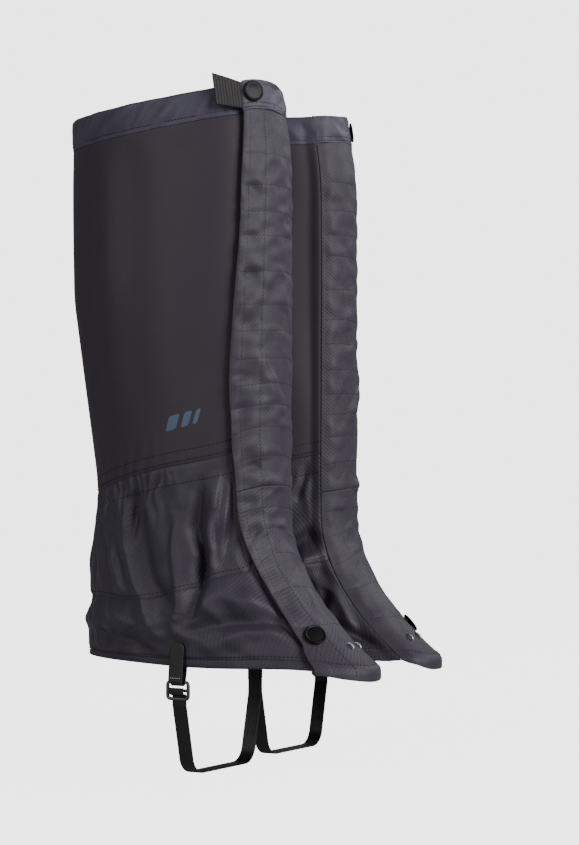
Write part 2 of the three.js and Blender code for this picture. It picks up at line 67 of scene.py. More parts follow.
class Side(Enum):
    """The leg that a gaiter belongs to."""

    RIGHT = "right"
    LEFT = "left"

    @property
    def sign(self) -> int:
        """Direction of this leg along the frame's X."""
        return 1 if self is Side.LEFT else -1

    @property
    def seed(self) -> int:
        """Seed of this leg's small irregularities."""
        return 11 if self is Side.LEFT else 5

    def name(self, piece: str) -> str:
        """Name of one of this leg's pieces, CAD nodes or bodies."""
        return f"{self.value}_{piece}"

    def place(self, local: Array) -> Array:
        """Moves points from the leg's own millimetres to the frame's metres.

        X is mirrored on the right leg; each leg stands half a spacing from the middle, and the
        left one a little further back.

        Args:
            local: Points with X, Y and Z in their last axis.

        Returns:
            The points in metres.
        """
        spacing, set_back = 61.0, 11.0
        moved = np.array(local, float)
        moved[..., 0] = self.sign * (spacing + moved[..., 0])
        if self is Side.LEFT:
            moved[..., 1] += set_back
        return moved * MM


# ---- Numbers along a curve ------------------------------------------------------------


def eased(value: Array, knots: Knots) -> Array:
    """Smooth curve through the knots: cubic pieces whose slopes match at each knot.

    Args:
        value: Where to read the curve.
        knots: Pairs of place and value, in rising order.

    Returns:
        The curve's value at each place.
    """
    x, y = np.array(knots, float).T
    slope = np.gradient(y, x)
    at = np.clip(value, x[0], x[-1])
    i = np.clip(np.searchsorted(x, at, side="right") - 1, 0, len(x) - 2)
    step = x[i + 1] - x[i]
    t = (at - x[i]) / step
    start = (1 + 2 * t) * (1 - t) ** 2 * y[i] + t * (1 - t) ** 2 * step * slope[i]
    end = t**2 * (3 - 2 * t) * y[i + 1] + t**2 * (t - 1) * step * slope[i + 1]
    return start + end


def smooth(value: Array, low: float, high: float) -> Array:
    """Goes from 0 at low to 1 at high along 3t^2 - 2t^3, and is flat outside."""
    t = np.clip((value - low) / (high - low), 0, 1)
    return t * t * (3 - 2 * t)


def hump(value: Array, centre: float, width: float) -> Array:
    """Bell curve exp(-(distance / width)^2) about a centre."""
    return np.exp(-(((value - centre) / width) ** 2))


def ripple(a: Array, b: Array, wave: float, seed: int, waves: int = 18) -> Array:
    """Random smooth surface: the mean of plane waves with lengths near one wavelength.

    Args:
        a: First coordinate, in millimetres.
        b: Second coordinate, in millimetres.
        wave: Middle wavelength, in millimetres.
        seed: Seed of the directions, lengths and phases.
        waves: How many waves are added.

    Returns:
        Heights with a spread of about 1.
    """
    random = np.random.default_rng(seed)
    heading = random.uniform(0, math.pi, waves)
    number = TAU / (wave * random.uniform(0.7, 1.6, waves))
    phase = random.uniform(0, TAU, waves)
    total = np.zeros(np.broadcast(a, b).shape)
    for angle, k, start in zip(heading, number, phase):
        total += np.sin(k * (a * math.cos(angle) + b * math.sin(angle)) + start)
    return total * math.sqrt(2 / waves)


# ---- Meshes from arrays -----------------------------------------------------------------


@dataclass
class Draft:
    """Points and faces of one piece while it is being made, in a leg's own millimetres."""

    points: list[Array] = field(default_factory=list)
    faces: list[Array] = field(default_factory=list)
    flats: list[Array] = field(default_factory=list)
    slots: list[Array] = field(default_factory=list)
    # Painted light and shade of each point, by its relief.
    relief_shadings: list[Array] = field(default_factory=list)
    count: int = 0

    def add(self, points: Array, relief_shading: Array | float = 0.0) -> int:
        """Adds points with their relief shading: painted light and shade that materials multiply into their
        colour.

        Args:
            points: New points, in millimetres.
            relief_shading: Painted light and shade of all of them, or of each: above 0 lighter, below 0
                darker.

        Returns:
            The index of the first new point.
        """
        flat_points = np.asarray(points, float).reshape(-1, 3)
        first = self.count
        self.points.append(flat_points)
        self.relief_shadings.append(np.broadcast_to(np.asarray(relief_shading, float).ravel(), len(flat_points)))
        self.count += len(flat_points)
        return first

    def face(self, corners: Array, flat: Array, slot: int = 0) -> None:
        """Adds faces that all have as many corners.

        Args:
            corners: Point indices, one row for each face.
            flat: Pattern coordinates in millimetres for each corner.
            slot: Material slot of these faces.
        """
        self.faces.append(corners)
        self.flats.append(flat.reshape(-1, 2))
        self.slots.append(np.full(len(corners), slot, np.int32))

    def grid(self, index: Array, flat: Array, slot: int = 0) -> None:
        """Adds a face for each cell of a grid of point indices; up turns left from round.

        Args:
            index: Point indices, a row for each step round.
            flat: Pattern coordinates of the same points.
            slot: Material slot of the faces.
        """
        ring = [(slice(None, -1), slice(None, -1)), (slice(1, None), slice(None, -1)),
                (slice(1, None), slice(1, None)), (slice(None, -1), slice(1, None))]
        corners = np.stack([index[cell] for cell in ring], -1).reshape(-1, 4)
        places = np.stack([flat[cell] for cell in ring], -2).reshape(-1, 4, 2)
        self.face(corners, places, slot)

    def shell(self, outer: Array, inner: Array, flat: Array, relief_shading: Array | float = 0.0,
              lining: int = 0) -> None:
        """Adds a sheet with two faces and four closed edges.

        The outer and inner points are two grids of the same size; cells join neighbours, and
        the four edges are closed by cells between the grids.

        Args:
            outer: Grid of points, round the leg first and up second.
            inner: The same grid on the sheet's inner face.
            flat: Pattern coordinates in millimetres for the grid.
            relief_shading: Painted light and shade of the outer points.
            lining: Material slot of the inner face.
        """
        rows, columns = outer.shape[:2]
        top = self.add(outer, relief_shading)
        low = self.add(inner)
        a = np.arange(rows * columns).reshape(rows, columns) + top
        b = a - top + low
        self.grid(a, flat)
        self.grid(b[::-1], flat[::-1], lining)
        for edge in (np.stack([b[:, 0], a[:, 0]], 1), np.stack([a[:, -1], b[:, -1]], 1),
                     np.stack([a[0], b[0]], 1), np.stack([b[-1], a[-1]], 1)):
            along = np.arange(len(edge), dtype=float)
            self.grid(edge, np.stack([np.stack([along, 0 * along], 1)] * 2, 1))

    def tube(self, rings: Array, flat: Array, relief_shading: Array | float = 0.0, closed: bool = False) -> None:
        """Adds a tube through rings of points and closes its ends.

        Args:
            rings: Ring, then point of the ring, then X, Y and Z.
            flat: Pattern coordinates for the rings, with one more point round than the rings.
            relief_shading: Painted light and shade of the points.
            closed: True when the last ring joins the first, as in a frame.
        """
        count, around = rings.shape[:2]
        first = self.add(rings, relief_shading)
        index = np.arange(count * around).reshape(count, around) + first
        index = np.concatenate([index, index[:, :1]], 1)
        if closed:
            index = np.concatenate([index, index[:1]], 0)
            self.grid(index, flat)
            return
        self.grid(index, flat)
        for end in (index[0, :-1][::-1], index[-1, :-1]):
            self.face(end[None], np.zeros((1, around, 2)))

    def build(self, name: str, side: Side, materials: list[bpy.types.Material]) -> bpy.types.Object:
        """Makes the mesh object, in the frame's metres, with its faces outward.

        Args:
            name: Name of the piece.
            side: Leg it belongs to; the right leg's faces are turned over after mirroring.
            materials: Materials for its slots.

        Returns:
            The new object.
        """
        mesh = bpy.data.meshes.new(name)
        points = side.place(np.concatenate(self.points))
        sizes = np.concatenate([np.full(len(f), f.shape[1], np.int32) for f in self.faces])
        mirrored = side is Side.RIGHT
        corners = np.concatenate([(f[:, ::-1] if mirrored else f).ravel() for f in self.faces])
        flats = []
        for faces, flat in zip(self.faces, self.flats):
            shaped = flat.reshape(*faces.shape, 2)
            flats.append((shaped[:, ::-1] if mirrored else shaped).reshape(-1, 2))
        mesh.vertices.add(len(points))
        mesh.vertices.foreach_set("co", points.ravel())
        mesh.loops.add(len(corners))
        mesh.loops.foreach_set("vertex_index", corners.astype(np.int32))
        mesh.polygons.add(len(sizes))
        mesh.polygons.foreach_set("loop_start", np.concatenate([[0], np.cumsum(sizes)[:-1]]))
        mesh.polygons.foreach_set("loop_total", sizes)
        mesh.polygons.foreach_set("material_index", np.concatenate(self.slots))
        mesh.uv_layers.new(name="pattern")
        mesh.uv_layers["pattern"].data.foreach_set("uv", (np.concatenate(flats) * MM).ravel())
        # Painted light and shade by relief, kept as a point attribute that every material reads.
        relief_shading = mesh.attributes.new("relief_shading", "FLOAT", "POINT")
        relief_shading.data.foreach_set("value", np.concatenate(self.relief_shadings).astype(np.float32))
        mesh.update()
        mesh.validate()
        mesh.shade_smooth()
        mesh.set_sharp_from_angle(angle=math.radians(50))
        for material in materials:
            mesh.materials.append(material)
        piece = bpy.data.objects.new(name, mesh)
        bpy.context.scene.collection.objects.link(piece)
        LOG.info("%s: %d faces", name, len(sizes))
        return piece


def unit(vectors: Array) -> Array:
    """Scales vectors in the last axis to length 1."""
    return vectors / np.maximum(np.linalg.norm(vectors, axis=-1, keepdims=True), 1e-9)


def walked(points: Array, axis: int = 0) -> Array:
    """Distance walked along an axis of a grid of points, from its first point.

    Args:
        points: Grid of points.
        axis: Axis to walk along.

    Returns:
        The distances, one for each point.
    """
    steps = np.linalg.norm(np.diff(points, axis=axis), axis=-1)
    pad = [(0, 0)] * steps.ndim
    pad[axis] = (1, 0)
    return np.pad(np.cumsum(steps, axis=axis), pad)


def resampled(points: Array, spacing: float) -> Array:
    """Points at even steps of about one spacing along a line through the given points.

    Args:
        points: Corners of the line.
        spacing: Wanted step.

    Returns:
        The new points.
    """
    length = walked(points)
    count = max(2, int(round(length[-1] / spacing)) + 1)
    at = np.linspace(0, length[-1], count)
    return np.stack([np.interp(at, length, points[:, k]) for k in range(points.shape[1])], -1)


def swept(path: Array, across: Array, profile: Array) -> Array:
    """Carries a closed profile along a path.

    Each ring is the path's point, plus the profile's first number along across and its second
    along the direction square to both across and the path.

    Args:
        path: Points of the path.
        across: Direction across the path at each point, of length 1.
        profile: Outline, as pairs.

    Returns:
        Rings of points for Draft.tube.
    """
    forward = unit(np.gradient(path, axis=0))
    lift = unit(np.cross(forward, across))
    return (path[:, None] + profile[None, :, :1] * across[:, None]
            + profile[None, :, 1:] * lift[:, None])


def ring_flat(rings: Array) -> Array:
    """Pattern coordinates of a tube: distance along it, and distance round its first ring.

    Args:
        rings: Rings of points along the tube.

    Returns:
        Two coordinates for each point.
    """
    count, around = rings.shape[:2]
    along = walked(rings.mean(1))
    circle = walked(np.concatenate([rings[0], rings[0, :1]]))
    return np.stack(np.broadcast_arrays(along[:, None], circle[None, :]), -1).reshape(count, around + 1, 2)


def rounded_outline(width: float, height: float, radius: float, steps: int = 3,
                    flat_steps: int = 0) -> Array:
    """Outline of a rectangle with round corners, running from +X over +Y.

    Args:
        width: Full width.
        height: Full height.
        radius: Corner radius.
        steps: Steps in each corner.
        flat_steps: Extra points along each long side.

    Returns:
        Pairs of X and Y.
    """
    corners = []
    for quarter, (sx, sy) in enumerate(((1, 1), (-1, 1), (-1, -1), (1, -1))):
        angle = np.linspace(quarter, quarter + 1, steps + 1) * math.pi / 2
        centre = np.array([sx * (width / 2 - radius), sy * (height / 2 - radius)])
        corners.append(centre + radius * np.stack([np.cos(angle), np.sin(angle)], -1))
        if flat_steps and quarter in (0, 2):
            start, end = corners[-1][-1], np.array([-corners[-1][-1][0], corners[-1][-1][1]])
            share = np.linspace(0, 1, flat_steps + 2)[1:-1, None]
            corners.append(start + (end - start) * share)
    return np.concatenate(corners)


# ---- The leg ----------------------------------------------------------------------------


@dataclass(frozen=True)
class LegForm:
    """Smooth surface that the cloth follows, in a leg's own millimetres."""

    hem_height: float = 76.0
    cover_height: float = 425.0
    band_rise: float = 403.0
    instep_rise: float = 115.0
    shin_line: float = 83.0
    instep_reach: float = 75.0
    seam_inset: float = 25.0
    flap_stations: float = 12.0
    last_station: float = 34.0
    back: Knots = ((0, -81), (160, -71), (295, -94), (425, -97))
    half: Knots = ((0, 53), (160, 50.5), (295, 56), (425, 54.5))
    fall: Knots = ((0, 0), (77, 0.155), (160, 0.19), (295, 0.12), (425, 0.03))
    reach: Knots = ((0, 28), (160, 35), (425, 29))
    cinch: Knots = ((0, 0), (340, 0), (355, 0), (372, 0.4), (390, 2.2), (403, 4.2), (425, 8.0))
    sags: tuple[tuple[float, float, Knots], ...] = (
        (0, 30, ((0, 0), (11.4, 0), (13, 2.5), (16, 2.5), (18.7, 6), (21.2, 9), (25, 8), (30, 3), (34, 0))),
        (77, 34, ((0, 0), (11.2, 0), (11.8, -3.5), (13.5, -6.5), (14.4, -11), (15.25, -13), (16.9, -15),
                  (19.5, -5), (21.5, -3), (30, -3), (33, -2), (34, 0))),
        (160, 30, ((0, 0), (11.2, 0), (12, -2), (16, -3), (19.3, -5), (24, -5), (32, -2), (34, 0))),
        (425, 60, ((0, 0), (12.2, 0), (14, -4.5), (18, -8), (21.5, -4), (24, 0), (34, 0))),
    )

    def point(self, station: Array, rise: Array) -> Array:
        """Point of the cloth surface.

        Each level is an ellipse from the front line to the back line. The front stays on the
        shin line and swings out over the instep as a parabola. The seam and the free edge of
        the flap sit where the ellipse crosses their own distance from the middle plane, and
        other stations divide the angles evenly. Levels tilt down towards the heel, the seams
        sag by their own curves, and the elastic draws the front in at the rim.

        Args:
            station: Stations round the leg.
            rise: Rises above the hem.

        Returns:
            Points, in millimetres.
        """
        rise = rise + self.sag(station, rise)
        below = np.clip((self.instep_rise - rise) / self.instep_rise, 0, 1)
        front = self.shin_line + self.instep_reach * below**2 - eased(rise, self.cinch)
        back, half = self._line(rise, self.back), self._line(rise, self.half)
        seam = -np.arcsin(self.seam_inset / half)
        free = np.arcsin(self._line(rise, self.reach) / half)
        over = (station - self.flap_stations) / (self.last_station - self.flap_stations)
        angle = np.where(station <= self.flap_stations,
                         seam + (free - seam) * station / self.flap_stations,
                         free + (TAU + seam - free) * over)
        forward = (front + back) / 2 + (front - back) / 2 * np.cos(angle)
        height = self.hem_height + rise - self._line(rise, self.fall) * (front - forward)
        return np.stack([half * np.sin(angle), -forward, height], -1)

    def sag(self, station: Array, rise: Array) -> Array:
        """How far the cloth hangs above or below its even level, near each seam.

        Args:
            station: Stations round the leg.
            rise: Rises above the hem.

        Returns:
            The shift in rise, in millimetres.
        """
        total = np.zeros(np.broadcast(station, rise).shape)
        for level, spread, knots in self.sags:
            total += eased(station, knots) * hump(rise, level, spread)
        return total

    @staticmethod
    def _line(rise: Array, knots: Knots) -> Array:
        """Straight lines between knots, rounded over a little above and below each knot."""
        x, y = np.array(knots, float).T
        return sum(np.interp(rise + shift, x, y) for shift in (-8, -4, 0, 4, 8)) / 5

    def normal(self, station: Array, rise: Array) -> Array:
        """Outward direction: the cross product of small steps round the leg and up it.

        Args:
            station: Stations round the leg.
            rise: Rises above the hem.

        Returns:
            Unit vectors.
        """
        round_step = self.point(station + 0.05, rise) - self.point(station - 0.05, rise)
        up_step = self.point(station, rise + 1) - self.point(station, rise - 1)
        return unit(np.cross(round_step, up_step))

    def lifted(self, station: Array, rise: Array, out: Array | float) -> Array:
        """Surface point moved out by a distance along the normal."""
        lift = np.asarray(out, float)[..., None]
        return self.point(station, rise) + self.normal(station, rise) * lift

    def axes(self, station: float, rise: float) -> tuple[Array, Array, Array, Array]:
        """Place of a part that sits on the cloth.

        Args:
            station: Station round the leg.
            rise: Rise above the hem.

        Returns:
            The surface point, and the directions round the leg, up it and out of it.
        """
        s, r = np.array(station), np.array(rise)
        out = self.normal(s, r)
        up = unit(self.point(s, r + 1) - self.point(s, r - 1))
        along = unit(np.cross(up, out))
        return self.point(s, r), along, np.cross(out, along), out


FORM = LegForm()


# ---- Folds ------------------------------------------------------------------------------


@dataclass(frozen=True)
class Fold:
    """A ridge, or with a negative height a valley, along a line on the cloth."""

    path: Knots
    height: float
    width: float
    far_width: float = 0.0

    def relief(self, a: Array, b: Array, scale: float) -> Array:
        """Height of the fold: a bell curve of the distance to its line.

        The bell is height * exp(-(distance / width)^2), with its own width on each side of the
        line, and it fades to nothing at both ends as sin(pi * share)^0.7.

        Args:
            a: Stations.
            b: Rises.
            scale: Millimetres in one station.

        Returns:
            Heights, in millimetres.
        """
        line = np.array(self.path, float) * [scale, 1]
        best = np.full(a.shape, 1e9)
        share = np.zeros(a.shape)
        turned = np.zeros(a.shape)
        lengths = walked(line)
        for start, end, before in zip(line[:-1], line[1:], lengths[:-1]):
            step = end - start
            size = np.linalg.norm(step)
            da, db = a * scale - start[0], b - start[1]
            t = np.clip((da * step[0] + db * step[1]) / size**2, 0, 1)
            distance = np.hypot(da - t * step[0], db - t * step[1])
            near = distance < best
            best = np.where(near, distance, best)
            share = np.where(near, (before + t * size) / lengths[-1], share)
            turned = np.where(near, step[0] * db - step[1] * da, turned)
        width = np.where(turned > 0, self.width, self.far_width or self.width)
        fade = np.sin(np.pi * np.clip(share, 0.0, 1.0)) ** 0.7
        return self.height * fade * np.exp(-((best / width) ** 2))


SLEEVE_STATION = 19.5
FLAP_STATION = 4.9

LATERAL_FOLDS = (
    Fold(((16.4, 150), (16.75, 128), (16.95, 108)), -3.4, 2.6, 5.0),
    Fold(((17.3, 142), (17.1, 112), (16.6, 78), (16.6, 40), (16.4, 8)), 3.6, 7.5, 6.0),
    Fold(((18.6, 130), (17.7, 95), (17.3, 74)), 2.4, 6.0),
    Fold(((18.1, 120), (17.3, 84)), -2.2, 5.0),
    Fold(((16.2, 132), (16.1, 92), (15.6, 62)), -3.6, 9.0, 6.0),
    Fold(((14.6, 126), (14.9, 92), (15.3, 62), (15.9, 38)), 2.6, 3.4, 6.0),
    Fold(((13.3, 150), (13.75, 112), (13.6, 94), (14.4, 72), (15.0, 52), (15.9, 38)), -5.2, 6.5, 4.5),
    Fold(((13.5, 104), (13.75, 90), (14.3, 74)), -3.0, 2.6, 3.4),
    Fold(((12.6, 150), (12.95, 112), (13.6, 82)), 3.6, 5.5, 4.0),
    Fold(((12.1, 140), (12.4, 112), (13.0, 84)), 2.2, 4.0),
    Fold(((12.8, 122), (13.1, 96)), -1.8, 2.6),
    Fold(((11.9, 124), (12.35, 104), (13.0, 82)), -2.4, 4.5),
    Fold(((15.6, 44), (13.6, 62), (11.6, 46)), 4.2, 9.0, 12.0),
    Fold(((16.1, 32), (14.5, 40), (11.3, 36)), -3.0, 5.5, 8.0),
    Fold(((15.4, 14), (13.6, 29), (11.9, 27)), 2.4, 6.0),
    Fold(((18.6, 68), (17.4, 42)), 2.4, 7.0),
    Fold(((15.5, 54), (15.75, 36), (15.8, 22)), 2.0, 6.0),
    Fold(((20.4, 40), (17.6, 24), (16.7, 6)), -3.2, 11.0, 7.0),
)

MEDIAL_FOLDS = (
    Fold(((31.6, 74), (32.5, 94), (33.3, 99), (34.0, 94)), -3.6, 5.0, 7.0),
    Fold(((31.8, 66), (32.7, 80), (33.9, 82)), 3.4, 6.0, 8.0),
    Fold(((32.7, 76), (32.5, 56), (32.8, 40)), -3.0, 5.0),
    Fold(((33.3, 56), (32.6, 42)), -3.4, 3.6, 5.0),
    Fold(((33.7, 62), (33.5, 40), (33.1, 20)), 2.6, 5.0),
    Fold(((32.3, 38), (33.3, 20), (34.0, 6)), -2.6, 3.6, 6.0),
    Fold(((33.3, 158), (33.1, 142), (32.7, 126)), -2.0, 4.5),
    Fold(((30.6, 140), (30.2, 104), (30.8, 60)), 3.2, 8.0, 6.0),
    Fold(((29.6, 142), (29.2, 110), (29.7, 70)), -3.4, 6.0, 4.0),
    Fold(((28.2, 140), (28.6, 92), (28.1, 48)), 3.0, 7.0),
    Fold(((31.4, 138), (31.8, 110), (31.3, 88)), 2.2, 6.0),
    Fold(((27.0, 46), (29.4, 34), (31.6, 44)), 3.2, 9.0),
    Fold(((27.4, 20), (30.2, 26), (32.4, 16)), -2.6, 7.0),
)

HEEL_FOLDS = (
    Fold(((20.2, 138), (20.0, 104), (20.6, 72)), -2.6, 6.0),
    Fold(((21.6, 140), (21.4, 108), (21.9, 60)), 3.0, 8.0),
    Fold(((23.2, 138), (23.0, 100), (22.6, 66)), -2.8, 6.0),
    Fold(((24.6, 140), (24.9, 104), (24.4, 62)), 2.8, 8.0),
    Fold(((26.1, 138), (25.9, 98), (26.5, 58)), -2.6, 6.0),
    Fold(((20.4, 58), (22.6, 46), (25.6, 56)), 3.0, 10.0),
)

FLAP_FOLDS = (
    Fold(((8.0, 236), (5.0, 206), (1.6, 180)), -2.4, 4.6, 6.5),
    Fold(((9.2, 228), (7.2, 205), (5.2, 182)), 2.2, 4.5),
    Fold(((10.2, 252), (7.0, 255), (3.2, 246)), -1.8, 4.2, 6.0),
    Fold(((7.4, 172), (4.4, 156), (1.4, 140)), -2.4, 4.5, 6.0),
    Fold(((11.3, 145), (8.7, 145), (5.4, 138)), -1.8, 3.8),
    Fold(((8.6, 136), (5.6, 129)), 1.8, 4.5),
    Fold(((7.0, 126), (4.4, 110), (1.8, 92)), -2.4, 5.0),
    Fold(((8.8, 66), (6.4, 58), (3.6, 66)), -1.6, 3.2),
    Fold(((8.6, 52), (6.4, 42)), -1.4, 2.6),
    Fold(((6.8, 92), (5.2, 84), (2.6, 88)), -1.5, 3.4),
    Fold(((5.8, 330), (2.8, 322)), -0.9, 4.0),
    Fold(((6.4, 296), (3.8, 290), (1.6, 296)), -1.1, 4.2),
    Fold(((6.0, 272), (3.6, 266)), 1.2, 5.0),
)

FLAP_ROWS = (30.0, 52.0, 73.0, 94.0, 114.0, 130.0, 151.0, 172.0, 190.0, 206.0, 225.0, 245.0, 264.0,
             288.0, 314.0, 331.0, 350.0, 372.0)
FLAP_DENTS = ((10.7, 348, 1.5), (10.5, 314, 0.8), (10.5, 286, 1.7), (10.4, 250, 1.8), (11.0, 213, 1.6),
              (11.0, 189, 1.7), (9.9, 145, 1.6), (10.1, 119, 1.6), (10.0, 95, 0.9), (9.8, 74, 0.8))


@dataclass(frozen=True)
class SleeveRelief:
    """Folds, gathers and small unevenness of the sleeve's cloth."""

    seed: int
    gather: float = 1.0

    def __call__(self, s: Array, r: Array) -> Array:
        """Height of the cloth over the leg's smooth surface.

        The sum of the drawn folds, the fine gathers at the ankle's elastic, the soft
        streaks of the calf panel and the sag between the seams. Behind the strap's tail the
        cloth stays flat, and along the flap's seam it climbs to the flap's layer.

        Args:
            s: Stations.
            r: Rises.

        Returns:
            Heights, in millimetres.
        """
        s, r = np.broadcast_arrays(np.asarray(s, float), np.asarray(r, float))
        a = s * SLEEVE_STATION
        total = np.zeros(s.shape)
        for fold in LATERAL_FOLDS + MEDIAL_FOLDS + HEEL_FOLDS:
            total += fold.relief(s, r, SLEEVE_STATION)
        lower = 1 - smooth(r, 138, 164)
        total *= 1.35 * lower * smooth(r, -4, 12)
        creases = 0.8 - np.abs(ripple(a, 0.45 * r, 34, self.seed + 4))
        total += lower * smooth(r, 0, 18) * (0.35 * ripple(a, r, 22, self.seed) + 0.6 * creases)
        total += self._gathers(s, r, a)
        calm = smooth(r, 176, 230) * (1 - smooth(r, 380, 403))
        streaks = ripple(a, r * 0.22, 42, self.seed + 1)
        total += calm * 0.55 * streaks
        edges = smooth(s, 11.2, 12.6) * (1 - smooth(s, 33.3, 33.95))
        sag = 1.6 * hump(r, 44, 24) - 2.2 * hump(r, 76, 7) * smooth(s, 15.5, 19) * (1 - smooth(s, 27, 31))
        total = total * (0.35 + 0.65 * edges) + sag * edges
        behind_tail = hump(s, 16.3, 1.1) * (1 - smooth(r, 20, 36))
        total -= np.maximum(total - 0.4, 0) * behind_tail
        return total + 2.9 * smooth(s, 33.45, 34.0)

    def _gathers(self, s: Array, r: Array, a: Array) -> Array:
        """Puckers across the elastic: fine waves round the leg that fade away from its channel.

        Args:
            s: Stations round the leg.
            r: Rises above the hem, in millimetres.
            a: Angles round the leg.

        Returns:
            The height added to the cloth.
        """
        where = smooth(s, 14.2, 16.0) * (1 - smooth(s, 29.5, 31.5))
        bend = 1.4 * ripple(a, r, 30, self.seed + 2)
        wave = np.sin(TAU * (a + bend) / 7.4) + 0.7 * np.sin(TAU * (a + 2 * bend) / 11.3 + 1.0)
        near = hump(r, 150, 9.5)
        above = hump(r, 165, 13) * 0.32 * np.sin(TAU * (a + bend) / 13.0)
        slack = hump(r, 132, 13) * 0.5 * np.sin(TAU * (a + bend) / 11.0 + 0.4)
        pinch = -1.4 * hump(r, 150, 8)
        return where * self.gather * (1.05 * near * wave + above + slack + pinch)


@dataclass(frozen=True)
class FlapRelief:
    """Unevenness of the front flap: stitched rows, dents at its tape and soft folds."""

    seed: int
    lift: float = 0.5
    third: float = 8.8

    def __call__(self, s: Array, r: Array) -> Array:
        """Height over the flap's lowest face.

        A mean lift, plus the drawn folds, minus a groove at each stitched row and at the
        line a third of the way in, minus the dents. It never reaches the tapes.

        Args:
            s: Stations from the seam to the free edge.
            r: Rises.

        Returns:
            Heights, in millimetres.
        """
        s, r = np.broadcast_arrays(np.asarray(s, float), np.asarray(r, float))
        a = s * FLAP_STATION
        total = np.full(s.shape, self.lift)
        for fold in FLAP_FOLDS:
            total += fold.relief(s, r, FLAP_STATION)
        for row in FLAP_ROWS:
            patchy = 0.6 + 0.4 * np.sin(a / 7 + 2.3 * row)
            total -= 0.26 * patchy * hump(r, row + 0.35 * np.sin(a / 9 + row), 0.9)
            total += 0.22 * patchy * hump(r, row + 3.2, 2.6)
        total -= 0.3 * hump(a, self.third * FLAP_STATION, 0.8)
        for station, rise, depth in FLAP_DENTS:
            total -= depth * hump(s, station, 0.95) * hump(r, rise, 4.2)
        total += 0.32 * ripple(a, r, 15, self.seed) * (0.5 + 0.5 * smooth(400 - r, 0, 40))
        calm = smooth(r, 14, 30) * (1 - smooth(r, 388, 402))
        floor = -2.2 * smooth(s, 8.5, 9.5)
        return np.maximum(floor, 0.3 + (total - 0.3) * (0.25 + 0.75 * calm))


# ---- Finishes ---------------------------------------------------------------------------


class Pattern(Enum):
    """Surface pattern that a finish shows."""

    PLAIN = "plain"
    TWILL = "twill"
    RIB = "rib"
    PILE = "pile"


def shade(red: float, green: float, blue: float) -> tuple[float, float, float, float]:
    """Linear colour from display values between 0 and 255."""
    return (*[(c / 255) ** 2.2 for c in (red, green, blue)], 1.0)


class Board:
    """Adds and links nodes in one node tree."""

    def __init__(self, tree: bpy.types.NodeTree) -> None:
        """Keeps the tree that nodes are added to."""
        self.tree = tree

    def node(self, kind: str, links: dict | None = None, **settings: object) -> bpy.types.Node:
        """Adds a node.

        Args:
            kind: Blender's node type.
            links: Inputs by name or number, each a socket to link or a value to set.
            settings: Properties of the node.

        Returns:
            The new node.
        """
        made = self.tree.nodes.new(kind)
        for key, value in settings.items():
            setattr(made, key, value)
        for key, value in (links or {}).items():
            if isinstance(value, bpy.types.NodeSocket):
                self.tree.links.new(value, made.inputs[key])
            else:
                made.inputs[key].default_value = value
        return made

    def math(self, operation: str, *values: object) -> bpy.types.NodeSocket:
        """Adds a Math node and returns its result."""
        return self.node("ShaderNodeMath", dict(enumerate(values)), operation=operation).outputs[0]


def new_group(name: str, inputs: dict[str, str], outputs: dict[str, str]) -> tuple:
    """Makes an empty node group with named sockets.

    Args:
        name: Name of the group.
        inputs: Socket kinds by input name.
        outputs: Socket kinds by output name.

    Returns:
        The group, its board, its input node and its output node.
    """
    group = bpy.data.node_groups.new(name, "ShaderNodeTree")
    for in_out, sockets in (("INPUT", inputs), ("OUTPUT", outputs)):
        for label, kind in sockets.items():
            group.interface.new_socket(name=label, in_out=in_out, socket_type=f"NodeSocket{kind}")
    board = Board(group)
    return group, board, board.node("NodeGroupInput"), board.node("NodeGroupOutput")


def weave_group() -> bpy.types.NodeTree:
    """Group of crossed threads.

    Height is the sine of one slanted distance, cut by half the sine of the other one, so it
    shows slanting lines broken into floats as in twill; with no slant it shows ribs.

    Returns:
        The node group.
    """
    group, board, start, end = new_group(
        "woven_threads", {"Vector": "Vector", "Count": "Float", "Slant": "Float", "Cross": "Float"},
        {"Height": "Float"},
    )
    split = board.node("ShaderNodeSeparateXYZ", {0: start.outputs["Vector"]})
    turns = board.math("MULTIPLY", start.outputs["Count"], TAU)
    slanted = board.math("MULTIPLY", split.outputs["Y"], start.outputs["Slant"])
    first = board.math("MULTIPLY", board.math("ADD", split.outputs["X"], slanted), turns)
    back = board.math("MULTIPLY", board.math("SUBTRACT", split.outputs["Y"], slanted), turns)
    wale = board.math("SINE", first)
    pick = board.math("MULTIPLY", board.math("SINE", back), start.outputs["Cross"])
    total = board.math("ADD", wale, pick)
    board.tree.links.new(board.math("MULTIPLY_ADD", total, 0.35, 0.5), end.inputs["Height"])
    return group


def dye_and_shading_group() -> bpy.types.NodeTree:
    """Group of uneven dye and painted shading: random clouds and specks of the dye, plus the relief shading
    attribute that paints light on ridges and shade in hollows, as one brightness.

    Returns:
        The node group.
    """
    group, board, start, end = new_group(
        "dye_and_painted_shading", {"Vector": "Vector", "Scale": "Float", "Amount": "Float", "Painted Shading": "Float"},
        {"Brightness": "Float"},
    )
    noise = board.node("ShaderNodeTexNoise", {
        "Vector": start.outputs["Vector"], "Scale": start.outputs["Scale"], "Detail": 5.0,
        "Roughness": 0.6,
    })
    specks = board.node("ShaderNodeTexNoise", {
        "Vector": start.outputs["Vector"], "Scale": 620.0, "Detail": 2.0, "Roughness": 0.7,
    })
    both = board.math("ADD", noise.outputs[0], specks.outputs[0])
    centred = board.math("SUBTRACT", both, 1.0)
    cloud = board.math("MULTIPLY_ADD", centred, start.outputs["Amount"], 1.0)
    # Painted light and shade: the relief attribute lightens ridges and darkens hollows.
    relief_shading = board.node("ShaderNodeAttribute", attribute_name="relief_shading").outputs["Fac"]
    folded = board.math("MULTIPLY_ADD", relief_shading, start.outputs["Painted Shading"], cloud)
    board.tree.links.new(folded, end.inputs["Brightness"])
    return group


